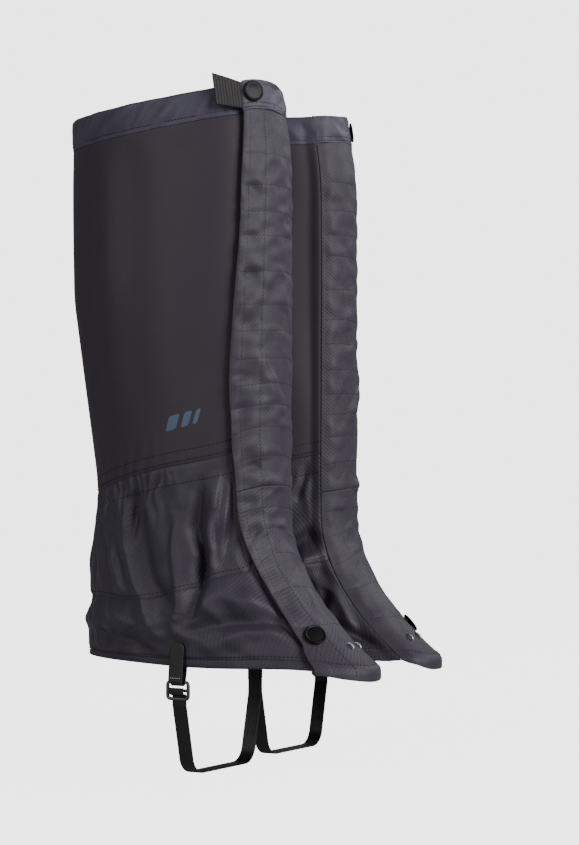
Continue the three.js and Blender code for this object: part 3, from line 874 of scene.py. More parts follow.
@dataclass(frozen=True)
class Finish:
    """One material of the pair: its colour, gloss, weave, and how much painted light and shade it takes."""

    name: str
    color: tuple[float, float, float, float]
    roughness: float
    pattern: Pattern = Pattern.PLAIN
    count: float = 900.0
    slant: float = 1.0
    bump: float = 0.1
    mottle: float = 0.3
    mottle_scale: float = 45.0
    # Share of the painted relief shading in the colour: lighter ridges, darker hollows.
    relief_shading: float = 0.0
    sheen: float = 0.0
    sheen_tint: tuple[float, float, float, float] = (0.8, 0.82, 1.0, 1.0)
    metallic: float = 0.0
    coat: float = 0.0
    # Painted shade in the gaps between threads and ribs, painted light on their tops.
    thread_painted_shade: float = 0.0
    specular: float = 0.5

    def make(self, groups: dict[str, bpy.types.NodeTree]) -> bpy.types.Material:
        """Builds the material.

        Base colour is the dye times a brightness of random dye clouds and specks, painted light and shade
        from the relief, and painted shade between the weave's threads with painted light on their tops; the
        bump is the weave's height with fine noise over it.

        Args:
            groups: The shared node groups by name.

        Returns:
            The material.
        """
        material = bpy.data.materials.new(self.name)
        material.use_nodes = True
        tree = material.node_tree
        tree.nodes.clear()
        board = Board(tree)
        flat = board.node("ShaderNodeUVMap", uv_map="pattern").outputs[0]
        place = board.node("ShaderNodeTexCoord").outputs["Object"]
        # Brightness of random dye, with painted light and shade from the relief.
        dye_and_shading = board.node("ShaderNodeGroup", node_tree=groups["dye_and_painted_shading"])
        tree.links.new(place, dye_and_shading.inputs["Vector"])
        dye_and_shading.inputs["Scale"].default_value = self.mottle_scale
        dye_and_shading.inputs["Amount"].default_value = self.mottle
        dye_and_shading.inputs["Painted Shading"].default_value = self.relief_shading
        bright = dye_and_shading.outputs["Brightness"]
        height = self._height(board, groups, flat, place)
        # Painted shade: the weave's height darkens the gaps between threads and lightens their tops.
        if self.thread_painted_shade:
            threads = board.math("MULTIPLY_ADD", height, self.thread_painted_shade, 1 - self.thread_painted_shade / 2)
            bright = board.math("MULTIPLY", bright, threads)
        color = board.node("ShaderNodeVectorMath", {0: self.color[:3]}, operation="SCALE")
        tree.links.new(bright, color.inputs["Scale"])
        rough = board.math("MULTIPLY_ADD", bright, -0.12, self.roughness + 0.12)
        bump = board.node("ShaderNodeBump", {
            "Strength": min(1.0, self.bump), "Distance": 0.0004, "Height": height,
        })
        shader = board.node("ShaderNodeBsdfPrincipled", {
            "Base Color": color.outputs[0], "Roughness": rough, "Normal": bump.outputs[0],
            "Metallic": self.metallic, "Specular IOR Level": self.specular,
            "Coat Weight": self.coat, "Coat Roughness": 0.12,
            "Sheen Weight": self.sheen, "Sheen Roughness": 0.42, "Sheen Tint": self.sheen_tint,
        })
        board.node("ShaderNodeOutputMaterial", {"Surface": shader.outputs[0]})
        return material

    def _height(self, board: Board, groups: dict, flat: bpy.types.NodeSocket,
                place: bpy.types.NodeSocket) -> bpy.types.NodeSocket:
        """Height of the surface pattern: threads, ribs, pile or plain grain.

        Args:
            board: Board that holds the material's nodes.
            groups: Shared node groups by name.
            flat: Socket of the pattern coordinates.
            place: Socket of the object coordinates.

        Returns:
            The socket of the height.
        """
        grain_scale = {Pattern.PILE: 900.0, Pattern.PLAIN: 700.0}.get(self.pattern, 500.0)
        grain = board.node("ShaderNodeTexNoise", {
            "Vector": place, "Scale": grain_scale, "Detail": 3.0,
        }).outputs[0]
        if self.pattern in (Pattern.PLAIN, Pattern.PILE):
            return grain
        threads = board.node("ShaderNodeGroup", node_tree=groups["woven_threads"])
        board.tree.links.new(flat, threads.inputs["Vector"])
        threads.inputs["Count"].default_value = self.count
        threads.inputs["Slant"].default_value = self.slant
        threads.inputs["Cross"].default_value = 0.5 if self.pattern is Pattern.TWILL else 0.25
        return board.math("MULTIPLY_ADD", grain, 0.25, threads.outputs["Height"])


FINISHES = (
    Finish("laminate", shade(46, 38, 48), 0.62, bump=0.12, mottle=0.22, mottle_scale=24, relief_shading=0.03,
           sheen=0.04),
    Finish("lining", shade(34, 31, 38), 0.5, bump=0.2, mottle=0.3),
    Finish("satin", shade(59, 55, 71), 0.55, Pattern.RIB, count=1500, slant=0.0, bump=0.15, mottle=0.5,
           mottle_scale=60, relief_shading=0.06, sheen=0.05),
    Finish("twill", shade(48, 42, 54), 0.6, Pattern.TWILL, count=340, slant=1.0, bump=0.24, mottle=0.6,
           mottle_scale=60, relief_shading=0.12, sheen=0.06, thread_painted_shade=0.2),
    # Painted shade: the same twill, darker, for the hem at the bottom.
    Finish("hem_twill", shade(44, 38, 50), 0.6, Pattern.TWILL, count=340, slant=1.0, bump=0.24, mottle=0.6,
           mottle_scale=60, relief_shading=0.12, sheen=0.06, thread_painted_shade=0.2),
    Finish("tape", shade(26, 25, 29), 0.95, Pattern.PILE, bump=1.0, mottle=0.8, mottle_scale=300, sheen=0.3),
    Finish("elastic", shade(24, 24, 26), 0.8, Pattern.RIB, count=700, slant=0.0, bump=0.8, thread_painted_shade=0.5),
    Finish("webbing", shade(44, 39, 42), 0.7, Pattern.RIB, count=900, slant=0.35, bump=0.7, relief_shading=1.0,
           mottle=0.6, sheen=0.1, thread_painted_shade=0.4),
    Finish("strap", shade(15, 13, 16), 0.5, bump=0.15, mottle=0.4, relief_shading=0.5, coat=0.03),
    Finish("snap", shade(14, 14, 15), 0.46, bump=0.05, mottle=0.3, mottle_scale=120, coat=0.06,
           specular=0.16),
    Finish("steel", shade(168, 170, 176), 0.32, bump=0.06, mottle=0.35, mottle_scale=160, metallic=1.0),
    Finish("gunmetal", shade(92, 92, 96), 0.4, bump=0.08, mottle=0.4, mottle_scale=160, relief_shading=0.5,
           metallic=1.0),
    Finish("thread", shade(26, 22, 29), 0.7, Pattern.RIB, count=2400, slant=0.6, bump=0.4),
    Finish("pale_thread", shade(196, 194, 196), 0.7, Pattern.RIB, count=2400, slant=0.6, bump=0.4),
    Finish("print", shade(70, 84, 108), 0.55, bump=0.1, mottle=0.2),
)


# ---- Cloth on the leg -------------------------------------------------------------------


def spaced(low: float, high: float, step: float, edge: float) -> Array:
    """Even places between two ends, with four closer ones at each end for its round edge.

    Args:
        low: First place.
        high: Last place.
        step: Largest distance between places.
        edge: Depth of the round edge.

    Returns:
        Places in rising order.
    """
    near = np.array([0.0, 0.12, 0.35, 0.7, 1.0]) * edge
    count = max(3, int(math.ceil((high - low - 2 * edge) / step)) + 1)
    middle = np.linspace(low + edge, high - edge, count)[1:-1]
    return np.concatenate([low + near, middle, high - near[::-1]])


def rounded_edge(distance: Array, thickness: float, depth: float) -> Array:
    """How far a face draws in near an edge: a quarter ellipse, which leaves a thin rim."""
    share = 1 - np.clip(distance / depth, 0, 1)
    return 0.46 * thickness * (1 - np.sqrt(1 - share**2))


@dataclass(frozen=True)
class ClothGrid:
    """Stations and rises of one sheet of cloth, with its thickness."""

    low_station: float
    high_station: float
    low_rise: float
    high_rise: float
    thickness: float
    station_mm: float = SLEEVE_STATION
    step: float = 2.2

    def places(self) -> tuple[Array, Array]:
        """Grid of stations and rises, closer at the edges.

        Returns:
            The stations and the rises.
        """
        edge = 0.55 * self.thickness
        s = spaced(self.low_station, self.high_station, self.step / self.station_mm,
                   edge / self.station_mm)
        r = spaced(self.low_rise, self.high_rise, self.step, edge)
        return np.meshgrid(s, r, indexing="ij")

    def drawn_in(self, s: Array, r: Array) -> Array:
        """How far both faces draw in at the sheet's four edges.

        Args:
            s: Stations round the leg.
            r: Rises above the hem, in millimetres.

        Returns:
            The distance, in millimetres.
        """
        edge = 0.55 * self.thickness
        aside = np.minimum(s - self.low_station, self.high_station - s) * self.station_mm
        above = np.minimum(r - self.low_rise, self.high_rise - r)
        return rounded_edge(np.minimum(aside, above), self.thickness, edge)

    def draft(self, face: Array, s: Array, r: Array, lining: int = 0,
              places: tuple[Array, Array] | None = None) -> Draft:
        """Makes the sheet.

        The outer face lies at the given heights over the leg's surface, and the inner face one thickness
        below it; both draw in to a round edge. The outer points carry painted light and shade by their
        height: lighter on ridges, darker in fold valleys.

        Args:
            face: Height of the outer face over the leg's surface.
            s: Stations of the grid.
            r: Rises of the grid.
            lining: Material slot of the inner face.
            places: Stations and rises to put the points at, where they differ from the grid.

        Returns:
            The draft.
        """
        at_s, at_r = places or (s, r)
        inset = self.drawn_in(s, r)
        outer = FORM.lifted(at_s, at_r, face - inset)
        inner = FORM.lifted(at_s, at_r, face - self.thickness + inset)
        base = FORM.point(at_s, at_r)
        flat = np.stack([walked(base, 0), walked(base, 1)], -1)
        # Painted light and shade: height over the mean lightens ridges and darkens fold valleys.
        local = face - face.mean()
        draft = Draft()
        draft.shell(outer, inner, flat, np.clip(local / 2.5, -1, 1), lining)
        return draft


def stitch_draft(lines: list[tuple[Array, Array]], pitch: float = 3.0, length: float = 2.1,
                 radius: float = 0.3) -> Draft:
    """Threads of one or more stitched lines.

    Each stitch is a short six-sided thread along the line that bows up out of the cloth: its
    rings sit at even shares of the length, at a height of the radius times 1 - share^2.

    Args:
        lines: Points and outward directions of each line.
        pitch: Distance between stitches.
        length: Length of a stitch.
        radius: Thickness of the thread.

    Returns:
        The draft.
    """
    draft = Draft()
    share = np.array([-1.0, -0.6, 0.0, 0.6, 1.0])
    size = np.array([0.35, 0.9, 1.0, 0.9, 0.35]) * radius
    angle = np.arange(6) / 6 * TAU
    for points, outs in lines:
        both = resampled(np.concatenate([points, outs], 1), pitch / 3)
        centre, out = both[1::3, :3], unit(both[1::3, 3:])
        along = unit(np.gradient(both[:, :3], axis=0))[1::3]
        aside = unit(np.cross(along, out))
        spine = (centre[:, None] + along[:, None] * (share * length / 2)[None, :, None]
                 + out[:, None] * (0.55 * radius * (1 - share**2))[None, :, None])
        rings = (spine[:, :, None]
                 + aside[:, None, None] * (size[:, None] * np.cos(angle))[None, :, :, None]
                 + out[:, None, None] * (size[:, None] * np.sin(angle))[None, :, :, None])
        count = len(centre)
        first = draft.add(rings)
        index = np.arange(count * 30).reshape(count, 5, 6) + first
        around = np.concatenate([index, index[:, :, :1]], 2)
        cells = np.stack([around[:, :-1, :-1], around[:, 1:, :-1], around[:, 1:, 1:],
                          around[:, :-1, 1:]], -1).reshape(-1, 4)
        draft.face(cells[:, ::-1], np.zeros((len(cells), 4, 2)))
        for end in (index[:, 0], index[:, -1, ::-1]):
            draft.face(end, np.zeros((count, 6, 2)))
    return draft


@dataclass
class Workshop:
    """What every sub-assembly needs to turn drafts into pieces."""

    side: Side
    materials: dict[str, bpy.types.Material]

    def body(self, name: str) -> str:
        """Name of one of this side's CAD bodies."""
        return self.side.name(name)

    def piece(self, draft: Draft, name: str, finishes: list[str], slot: str,
              replaced: tuple[str, ...] = ()) -> bpy.types.Object:
        """Builds a piece and hides the CAD nodes it stands for.

        Args:
            draft: Its shape.
            name: Name without the side.
            finishes: Names of its materials, in slot order.
            slot: The record's material slot; not used.
            replaced: CAD nodes, without the side.

        Returns:
            The piece.
        """
        made = draft.build(self.side.name(name), self.side, [self.materials[f] for f in finishes])
        if replaced:
            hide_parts(*[self.side.name(node) for node in replaced])
        return made

    def fixed(self, body: str, *args: object) -> bpy.types.Object:
        """Builds a piece that moves with one CAD body.

        Args:
            body: Body's name without its side.
            *args: What Workshop.piece takes.

        Returns:
            The piece.
        """
        made = self.piece(*args)
        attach(made, self.body(body))
        return made


@dataclass
class Sleeve:
    """Sleeve round the boot and calf: panels, band, hem, elastics and their stitching."""

    shop: Workshop
    cloth: float = 1.2
    seam_station: float = 34.0
    start_station: float = 11.0
    band_fold: float = 3.5
    print_rise: float = 184.0

    def __post_init__(self) -> None:
        """Prepares the relief that all panels share."""
        self.relief = SleeveRelief(self.shop.side.seed)

    def surface(self, s: Array, r: Array, out: float = 0.0) -> tuple[Array, Array]:
        """Points on the cloth with its relief, and outward directions."""
        s, r = np.broadcast_arrays(np.asarray(s, float), np.asarray(r, float))
        return FORM.lifted(s, r, self.relief(s, r) + out), FORM.normal(s, r)

    def build(self) -> None:
        """Makes every piece of the sleeve."""
        upper = self.panel("upper_panel", 159.8, 403.1, "laminate")
        self.shop.side.name("ankle_panel_cloth")
        ankle = self.panel("ankle_panel", 76.8, 160.2, "twill")
        self.shop.side.name("ankle_elastic_band")
        cover = self.panel("boot_cover", 7.0, 77.2, "twill")
        self.shop.side.name("foot_strap_band")
        self.hem()
        self.placket()
        self.band()
        self.elastic("top_elastic", 14, 32, 406.5, 421.5, -1.8)
        self.elastic("ankle_elastic", 13, 32, 156, 164, -1.5)
        self.stitching()
        self.mark()

    def panel(self, node: str, low: float, high: float, finish: str) -> bpy.types.Object:
        """One panel between two seams, at the relief's heights.

        Args:
            node: CAD node without its side.
            low: Rise of the lower seam.
            high: Rise of the upper seam.
            finish: Name of the outer finish.

        Returns:
            The piece.
        """
        step = 2.2 if finish == "laminate" else 1.3
        grid = ClothGrid(self.start_station, self.seam_station, low, high, self.cloth, step=step)
        s, r = grid.places()
        seam = 0.45 * (hump(r, low, 1.6) + hump(r, high, 1.6))
        draft = grid.draft(self.relief(s, r) - seam, s, r, lining=1)
        return self.shop.fixed("gaiter", draft, f"{node}_cloth", [finish, "lining"], finish, (node,))

    def hem(self) -> None:
        """Turned hem: thicker, and drawn in to a soft roll."""
        grid = ClothGrid(self.start_station, self.seam_station, 0, 7.4, 2.0, step=1.6)
        s, r = grid.places()
        roll = 0.2 * hump(r, 3.4, 3.0)
        # The hem wears the darker copy of the twill: painted shade.
        hem = self.shop.fixed("gaiter", grid.draft(self.relief(s, r) + roll, s, r), "bottom_hem_cloth",
                              ["hem_twill"], "twill", ("bottom_hem",))
        self.shop.side.name("boot_cover_cloth")

    def placket(self) -> None:
        """Strip under the flap, and its soft tape."""
        grid = ClothGrid(-0.5, 11.05, 2.0, 402.8, self.cloth, station_mm=FLAP_STATION, step=2.0)
        s, r = grid.places()
        face = 1.62 * (1 - smooth(s, 0.0, 1.3)) - 0.02
        placket = self.shop.fixed("gaiter", grid.draft(face, s, r, lining=1),
                                  "placket_cloth", ["twill", "lining"], "twill", ("placket",))
        tape = TapeStrip(4.0, 8.0, 29.0, 396.0, 0.3, 1.0)
        loops = self.shop.fixed("gaiter", tape.draft(self.shop.side.seed), "loop_tape_strip",
                                ["tape"], "tape", ("loop_tape",))
        self.shop.side.name("boot_cover_cloth")

    def band(self) -> None:
        """Satin band folded over the rim into a channel that is open below.

        Its profile goes up the outer wall, over the rim in half an ellipse, down the inner
        wall, and back one wall inside; the outer wall carries soft slanting wrinkles.
        """
        s = spaced(1.0, self.seam_station, 2.4 / SLEEVE_STATION, 0.03)
        rises = np.linspace(FORM.band_rise - 0.3, FORM.cover_height - 2.4, 11)
        arc = np.linspace(0, math.pi, 9)[1:-1]
        depth = self.band_fold + 1.8
        fold = np.concatenate([np.zeros(11), -depth / 2 * (1 - np.cos(arc)), np.full(11, -depth)])
        height = np.concatenate([rises, rises[-1] + 2.4 * np.sin(arc), rises[::-1]])
        s2, r2 = np.meshgrid(s, height, indexing="ij")
        off = np.broadcast_to(fold, s2.shape)
        a = s2 * SLEEVE_STATION
        share = np.clip((r2 - FORM.band_rise) / (FORM.cover_height - FORM.band_rise), 0, 1)
        soft = ripple(a + 1.1 * r2, 0.6 * r2, 26, self.shop.side.seed + 7)
        fine = ripple(a + 0.8 * r2, 0.5 * r2, 11, self.shop.side.seed + 8)
        puff = (0.85 * soft + 0.35 * fine) * np.sin(np.pi * np.clip(share * 0.94, 0, 1)) ** 0.5
        under = 0.15 + 0.85 * smooth(s2, 11.2, 12.2)
        outside = (off > -depth / 2).astype(float)
        lift = off + outside * under * (0.5 * np.sin(np.pi * share) + puff * 0.8)
        lip = 0.45 * hump(r2, FORM.band_rise + 3.0, 1.0) * outside * under
        lift = lift + 2.9 * smooth(s2, 33.45, 34.0)
        outer = FORM.lifted(s2, np.minimum(r2, FORM.cover_height), lift - lip)
        outer[..., 2] += np.maximum(r2 - FORM.cover_height, 0)
        wall = 0.9
        turn = np.gradient(outer, axis=1)
        side = unit(np.cross(np.gradient(outer, axis=0), turn))
        draft = Draft()
        base = FORM.point(s2, np.minimum(r2, FORM.cover_height))
        flat = np.stack([walked(base, 0), walked(outer, 1)], -1)
        # Painted light and shade on the wrinkles: lighter where they swell, darker in their hollows.
        draft.shell(outer, outer - side * wall, flat, np.clip(puff, -1, 1))
        band = self.shop.fixed("gaiter", draft, "top_band_cloth", ["satin"], "satin", ("top_hem",))
        self.shop.side.name("top_elastic_band")

    def elastic(self, node: str, first: float, last: float, low: float, high: float, out: float) -> None:
        """Elastic band with fine ribs, a little below a cloth's inner face.

        Args:
            node: CAD node without its side.
            first: First station.
            last: Last station.
            low: Lowest rise.
            high: Highest rise.
            out: Height of its outer face.
        """
        grid = ClothGrid(first, last, low, high, 1.4, step=2.4)
        s, r = grid.places()
        ribs = 0.12 * np.sin(TAU * (r - low) / 2.5)
        face = np.full(s.shape, out) + ribs + (self.relief(s, r) if node == "ankle_elastic" else 0)
        self.shop.fixed("gaiter", grid.draft(face, s, r), f"{node}_band", ["elastic"], "elastic", (node,))

    def stitching(self) -> None:
        """Stitched lines above and below each seam, as the machine left them."""
        s = np.linspace(self.start_station + 0.4, self.seam_station - 0.05, 900)
        lines = [self.surface(s, np.full(s.shape, rise), 0.05) for rise in (9.4, 80.2, 146.0, 163.0, 170.0)]
        thread = stitch_draft(lines)
        self.shop.fixed("gaiter", thread, "sleeve_stitches", ["thread"], "twill")
        around = np.linspace(11.4, self.seam_station - 0.05, 900)
        low = np.full(around.shape, FORM.band_rise + 3.0)
        points = FORM.lifted(around, low, 0.25)
        line = [(points, FORM.normal(around, low))]
        self.shop.fixed("gaiter", stitch_draft(line, 2.7, 1.9, 0.26), "band_stitches", ["thread"], "satin")

    def mark(self) -> None:
        """Plain printed mark: three slanting bars, thinner towards one end."""
        draft = Draft()
        for start, width in ((0.0, 9.0), (13.0, 6.5), (23.0, 4.0)):
            across, up = np.meshgrid(np.linspace(0, width, 7), np.linspace(0, 9.5, 9), indexing="ij")
            corner = 1.2 * np.clip(1 - np.minimum(up, 9.5 - up) / 1.2, 0, 1) ** 2
            shrunk = (across - width / 2) * (1 - 2 * corner / width) + width / 2
            s = 14.9 - (start + shrunk + 0.35 * up) / SLEEVE_STATION
            r = self.print_rise + up + 0.06 * (start + across)
            heights = self.relief(s, r)
            outer = FORM.lifted(s, r, heights + 0.1)
            inner = FORM.lifted(s, r, heights - 0.25)
            draft.shell(outer[::-1], inner[::-1], np.stack([across, up], -1))
        self.shop.fixed("gaiter", draft, "printed_bars", ["print"], "laminate")


@dataclass(frozen=True)
class TapeStrip:
    """Strip of hook or loop tape between two stations and two rises."""

    low_station: float
    high_station: float
    low_rise: float
    high_rise: float
    base: float
    thickness: float

    def draft(self, seed: int) -> Draft:
        """Makes the strip with a pile of small bumps inside a plain woven edge.

        Args:
            seed: Seed of the pile.

        Returns:
            The draft.
        """
        grid = ClothGrid(self.low_station, self.high_station, self.low_rise, self.high_rise,
                         self.thickness, station_mm=FLAP_STATION, step=1.3)
        s, r = grid.places()
        pile = 0.16 * np.abs(ripple(s * FLAP_STATION, r, 3.2, seed))
        inside = smooth(np.minimum(s - self.low_station, self.high_station - s) * FLAP_STATION, 0.8, 2.0)
        face = self.base + self.thickness - 0.3 + pile * inside
        return grid.draft(face, s, r)


@dataclass
class FrontFlap:
    """Front flap: twill strip, satin top band, tapes and stitching."""

    shop: Workshop
    floor: float = 4.3
    cloth: float = 1.35
    split_rise: float = 130.0
    free_edge: Knots = ((0, 12.5), (12, 12.25), (26, 11.75), (49, 11.15), (76, 11.2), (109, 11.6),
                        (153, 11.65), (196, 12.1), (260, 12.15), (321, 12.0), (370, 11.9),
                        (403, 11.35), (425, 11.1))
    tip_drop: Knots = ((0, 0), (1.5, 2.0), (3.5, 5), (6, 5), (9, 3.5), (12, 3))
    upper_bend: tuple[float, float] = (0.240, 0.400)
    lower_bend: tuple[float, float] = (0.200, 0.120)

    def __post_init__(self) -> None:
        """Prepares the relief of the flap."""
        self.relief = FlapRelief(self.shop.side.seed + 20)

    def face(self, s: Array, r: Array) -> Array:
        """Height of the outer face over the leg's surface.

        It starts on the sleeve's raised seam, climbs onto the tapes over the first stations,
        carries the relief, and has a raised turned edge along its free side.

        Args:
            s: Stations round the leg.
            r: Rises above the hem, in millimetres.

        Returns:
            The height, in millimetres.
        """
        climb = smooth(s, 0.0, 1.8)
        turned = 0.4 * smooth(s, 10.7, 11.3) * (1 - hump(s, 11.05, 0.12))
        toe = 0.45 * (1 - smooth(r, 6.5, 8.5))
        return 3.2 + (self.floor - 3.2) * climb + climb * (self.relief(s, r) + turned + toe)

    def where(self, s: Array, r: Array) -> tuple[Array, Array]:
        """Places moved so that the free edge wanders and the tip hangs lower.

        Args:
            s: Stations round the leg.
            r: Rises above the hem, in millimetres.

        Returns:
            The moved stations and rises.
        """
        edge = eased(r, self.free_edge)
        drop = eased(s, self.tip_drop) * (1 - smooth(r, 0, 45))
        return s * (1 + (edge / 12 - 1) * smooth(s, 4, 12)), r - drop

    def surface(self, s: Array, r: Array, out: float = 0.0) -> tuple[Array, Array]:
        """Points on the outer face, and outward directions."""
        at_s, at_r = self.where(s, r)
        return FORM.lifted(at_s, at_r, self.face(s, r) + out), FORM.normal(at_s, at_r)

    def build(self) -> None:
        """Makes every piece of the flap."""
        upper = self.strip("flap_upper_cloth", self.split_rise, 403.2, ("flap_upper", "flap_ankle"))
        lower = self.strip("flap_lower_cloth", 0.0, self.split_rise, ("flap_lower",))
        band = self.band()
        hooks = [self.tape(160.5, 396.0, "hook_tape_upper"), self.tape(29.0, 76.0, "hook_tape_lower")]
        threads = [self.stitching("flap_upper_stitches", self.split_rise + 1, 401.0),
                   self.stitching("flap_lower_stitches", 3.0, self.split_rise - 1)]
        for piece in (upper, hooks[0], threads[0]):
            self.bend_upper(piece)
        for piece in (lower, hooks[1], threads[1]):
            self.bend_lower(piece)
        name = self.shop.side.name
        name("placket_cloth")
        name("placket_cloth")
        name("top_band_cloth")

    def strip(self, name: str, low: float, high: float, nodes: tuple[str, ...]) -> bpy.types.Object:
        """One stretch of the flap's twill.

        Args:
            name: Piece's name without its side.
            low: Lowest rise.
            high: Highest rise.
            nodes: CAD nodes that it stands for.

        Returns:
            The piece.
        """
        grid = ClothGrid(0.0, 12.0, low, high, self.cloth, station_mm=FLAP_STATION, step=1.15)
        s, r = grid.places()
        draft = grid.draft(self.face(s, r), s, r, places=self.where(s, r))
        return self.shop.piece(draft, name, ["twill"], "twill", nodes)

    def band(self) -> bpy.types.Object:
        """Satin band over the flap's top, with soft wrinkles from the snap.

        Returns:
            The piece.
        """
        low, high = FORM.band_rise - 0.3, FORM.cover_height + 0.3
        grid = ClothGrid(0.0, 12.1, low, high, 1.9, station_mm=FLAP_STATION, step=1.2)
        s, r = grid.places()
        climb = smooth(s, 0.0, 1.8)
        a = s * FLAP_STATION
        soft = 0.45 * ripple(a + 0.8 * r, 0.7 * r, 15, self.shop.side.seed + 31)
        flatten = 1 - hump(s, 9.84, 2.2) * hump(r, 415.5, 11)
        stitched = 0.4 * (hump(r, low + 2.2, 0.8) + 0.7 * hump(r, low + 5.0, 0.7))
        face = 3.2 + (self.floor + 0.5 - 3.2) * climb + climb * (0.35 + soft * flatten - stitched)
        draft = grid.draft(face, s, r, places=self.where(s, r))
        band = self.shop.piece(draft, "flap_band_cloth", ["satin"], "satin", ("flap_top_band",))
        line = np.linspace(0.3, 11.9, 160)
        lines = []
        for rise in (low + 2.2, low + 5.0):
            level = np.full(line.shape, rise)
            lift = 3.2 + (self.floor + 0.85 - 3.2) * smooth(line, 0, 1.8)
            at_s, at_r = self.where(line, level)
            lines.append((FORM.lifted(at_s, at_r, lift + 0.05), FORM.normal(at_s, at_r)))
        threads = self.shop.piece(stitch_draft(lines, 2.4, 1.7, 0.24), "flap_band_stitches",
                                  ["thread"], "satin")
        for piece in (band, threads):
            self.bend_band(piece)
        return band

    def tape(self, low: float, high: float, node: str) -> bpy.types.Object:
        """Hook tape on the back of the flap."""
        strip = TapeStrip(4.0, 8.0, low, high, 1.75, 1.0)
        return self.shop.piece(strip.draft(self.shop.side.seed + 3), f"{node}_strip",
                               ["tape"], "tape", (node,))

    def stitching(self, name: str, low: float, high: float) -> bpy.types.Object:
        """Stitched rows across the flap and lines along its edges.

        Args:
            name: Piece's name without its side.
            low: Lowest rise.
            high: Highest rise.

        Returns:
            The piece.
        """
        lines = []
        across = np.linspace(0.6, 11.6, 160)
        for row in FLAP_ROWS:
            if low < row < high:
                wander = row + 0.35 * np.sin(across * FLAP_STATION / 9 + row)
                lines.append(self.surface(across, wander, 0.02))
        up = np.linspace(low, high, 500)
        for station in (8.8, 11.05):
            lines.append(self.surface(np.full(up.shape, station), up, 0.02))
        if low < 10:
            lines.append(self.surface(across, np.full(across.shape, 7.5), 0.02))
        return self.shop.piece(stitch_draft(lines, 2.6, 1.8, 0.2), name, ["thread"], "twill")

    def bend_band(self, piece: bpy.types.Object) -> None:
        """Bakes a piece's transform into its mesh."""
        self.shop.body("gaiter")
        self.shop.body("flap_upper")
        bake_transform(piece)

    def bend_upper(self, piece: bpy.types.Object) -> None:
        """Bakes a piece's transform into its mesh."""
        self.shop.body("gaiter")
        self.shop.body("flap_upper")
        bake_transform(piece)

    def bend_lower(self, piece: bpy.types.Object) -> None:
        """Bakes a piece's transform into its mesh."""
        self.shop.body("gaiter")
        self.shop.body("flap_lower")
        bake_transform(piece)


# ---- Hardware ---------------------------------------------------------------------------


def lathe(draft: Draft, axes: tuple[Array, Array, Array, Array], profile: Array, closed: bool = False,
          steps: int = 48) -> None:
    """Turns a profile about the outward axis of a place on the cloth.

    Args:
        draft: Where to add the surface.
        axes: The place's point and its directions round, up and out.
        profile: Pairs of radius and height, from the lower end to the upper end.
        closed: True for a ring, whose profile is a loop.
        steps: Steps round the axis.
    """
    origin, along, up, out = axes
    angle = np.arange(steps) / steps * TAU
    circle = np.cos(angle)[:, None] * along + np.sin(angle)[:, None] * up
    rings = origin + profile[:, :1, None] * circle[None] + profile[:, 1:, None] * out
    if closed:
        rings = rings[::-1]
    draft.tube(rings, ring_flat(np.concatenate([rings, rings[:1]]) if closed else rings), closed=closed)


@dataclass
class Snaps:
    """The two press snaps: caps and sockets on the flap, studs and posts on the sleeve."""

    shop: Workshop
    cap_radius: float = 7.8
    places: tuple[tuple[str, float, float, str], ...] = (
        ("top", 9.84, 415.5, "flap_upper"), ("low", 9.94, 23.0, "flap_lower"))

    def build(self) -> None:
        """Makes both snaps."""
        for label, station, rise, body in self.places:
            axes = FORM.axes(station, rise)
            self.cap(label, axes, body, 0.9 if label == "top" else 1.2)
            self.socket(label, axes, body)
            self.stud(label, axes)

    def cap(self, label: str, axes: tuple, body: str, lift: float) -> None:
        """Cap: a thin raised rim round a shallow dished face, with its post behind.

        Args:
            label: Which snap.
            axes: Its place.
            body: CAD body it moves with.
            lift: How far the cap stands off its CAD place, on the raised cloth.
        """
        r, base = self.cap_radius, 4.85 + lift
        profile = np.array([
            (0.05, 2.75), (1.5, 2.75), (1.6, base), (r - 0.6, base), (r - 0.15, base + 0.25),
            (r, base + 0.7), (r - 0.1, base + 1.25), (r - 0.45, base + 1.6), (r - 0.85, base + 1.62),
            (r - 1.2, base + 1.4), (r - 1.5, base + 1.25), (r - 2.2, base + 1.3), (r - 4, base + 1.48),
            (r - 6, base + 1.6), (0.05, base + 1.64)])
        draft = Draft()
        lathe(draft, axes, profile)
        self.shop.fixed(body, draft, f"snap_{label}_cap_disc", ["snap"], "snap", (f"snap_{label}_cap",))

    def socket(self, label: str, axes: tuple, body: str) -> None:
        """Socket: a ring with a rolled rim behind the flap.

        Args:
            label: Which snap, top or low.
            axes: The snap's place and directions.
            body: Body that it moves with.
        """
        angle = np.arange(10) / 10 * TAU
        loop = np.stack([4.5 + 1.05 * np.cos(angle), 1.93 + 0.44 * np.sin(angle)], -1)
        draft = Draft()
        lathe(draft, axes, loop, closed=True)
        self.shop.fixed(body, draft, f"snap_{label}_socket_ring",
                        ["steel"], "steel", (f"snap_{label}_socket",))

    def stud(self, label: str, axes: tuple) -> None:
        """Stud: a plate with a rounded nub, and its post with a plate behind the cloth.

        Args:
            label: Which snap, top or low.
            axes: The snap's place and directions.
        """
        stud = Draft()
        lathe(stud, axes, np.array([(0.05, 0.55), (4.7, 0.55), (5.0, 0.7), (4.95, 0.98), (4.5, 1.15),
                                    (2.5, 1.15), (2.35, 1.5), (2.45, 1.85), (2.1, 2.12),
                                    (1.2, 2.15), (0.05, 2.15)]))
        self.shop.fixed("gaiter", stud, f"snap_{label}_stud_disc",
                        ["steel"], "steel", (f"snap_{label}_stud",))
        post = Draft()
        lathe(post, axes, np.array([(0.05, -2.55), (4.6, -2.55), (5.0, -2.35), (4.9, -2.0), (1.6, -1.95),
                                    (1.6, 0.0), (0.05, 0.0)]))
        self.shop.fixed("gaiter", post, f"snap_{label}_post_disc",
                        ["steel"], "steel", (f"snap_{label}_post",))


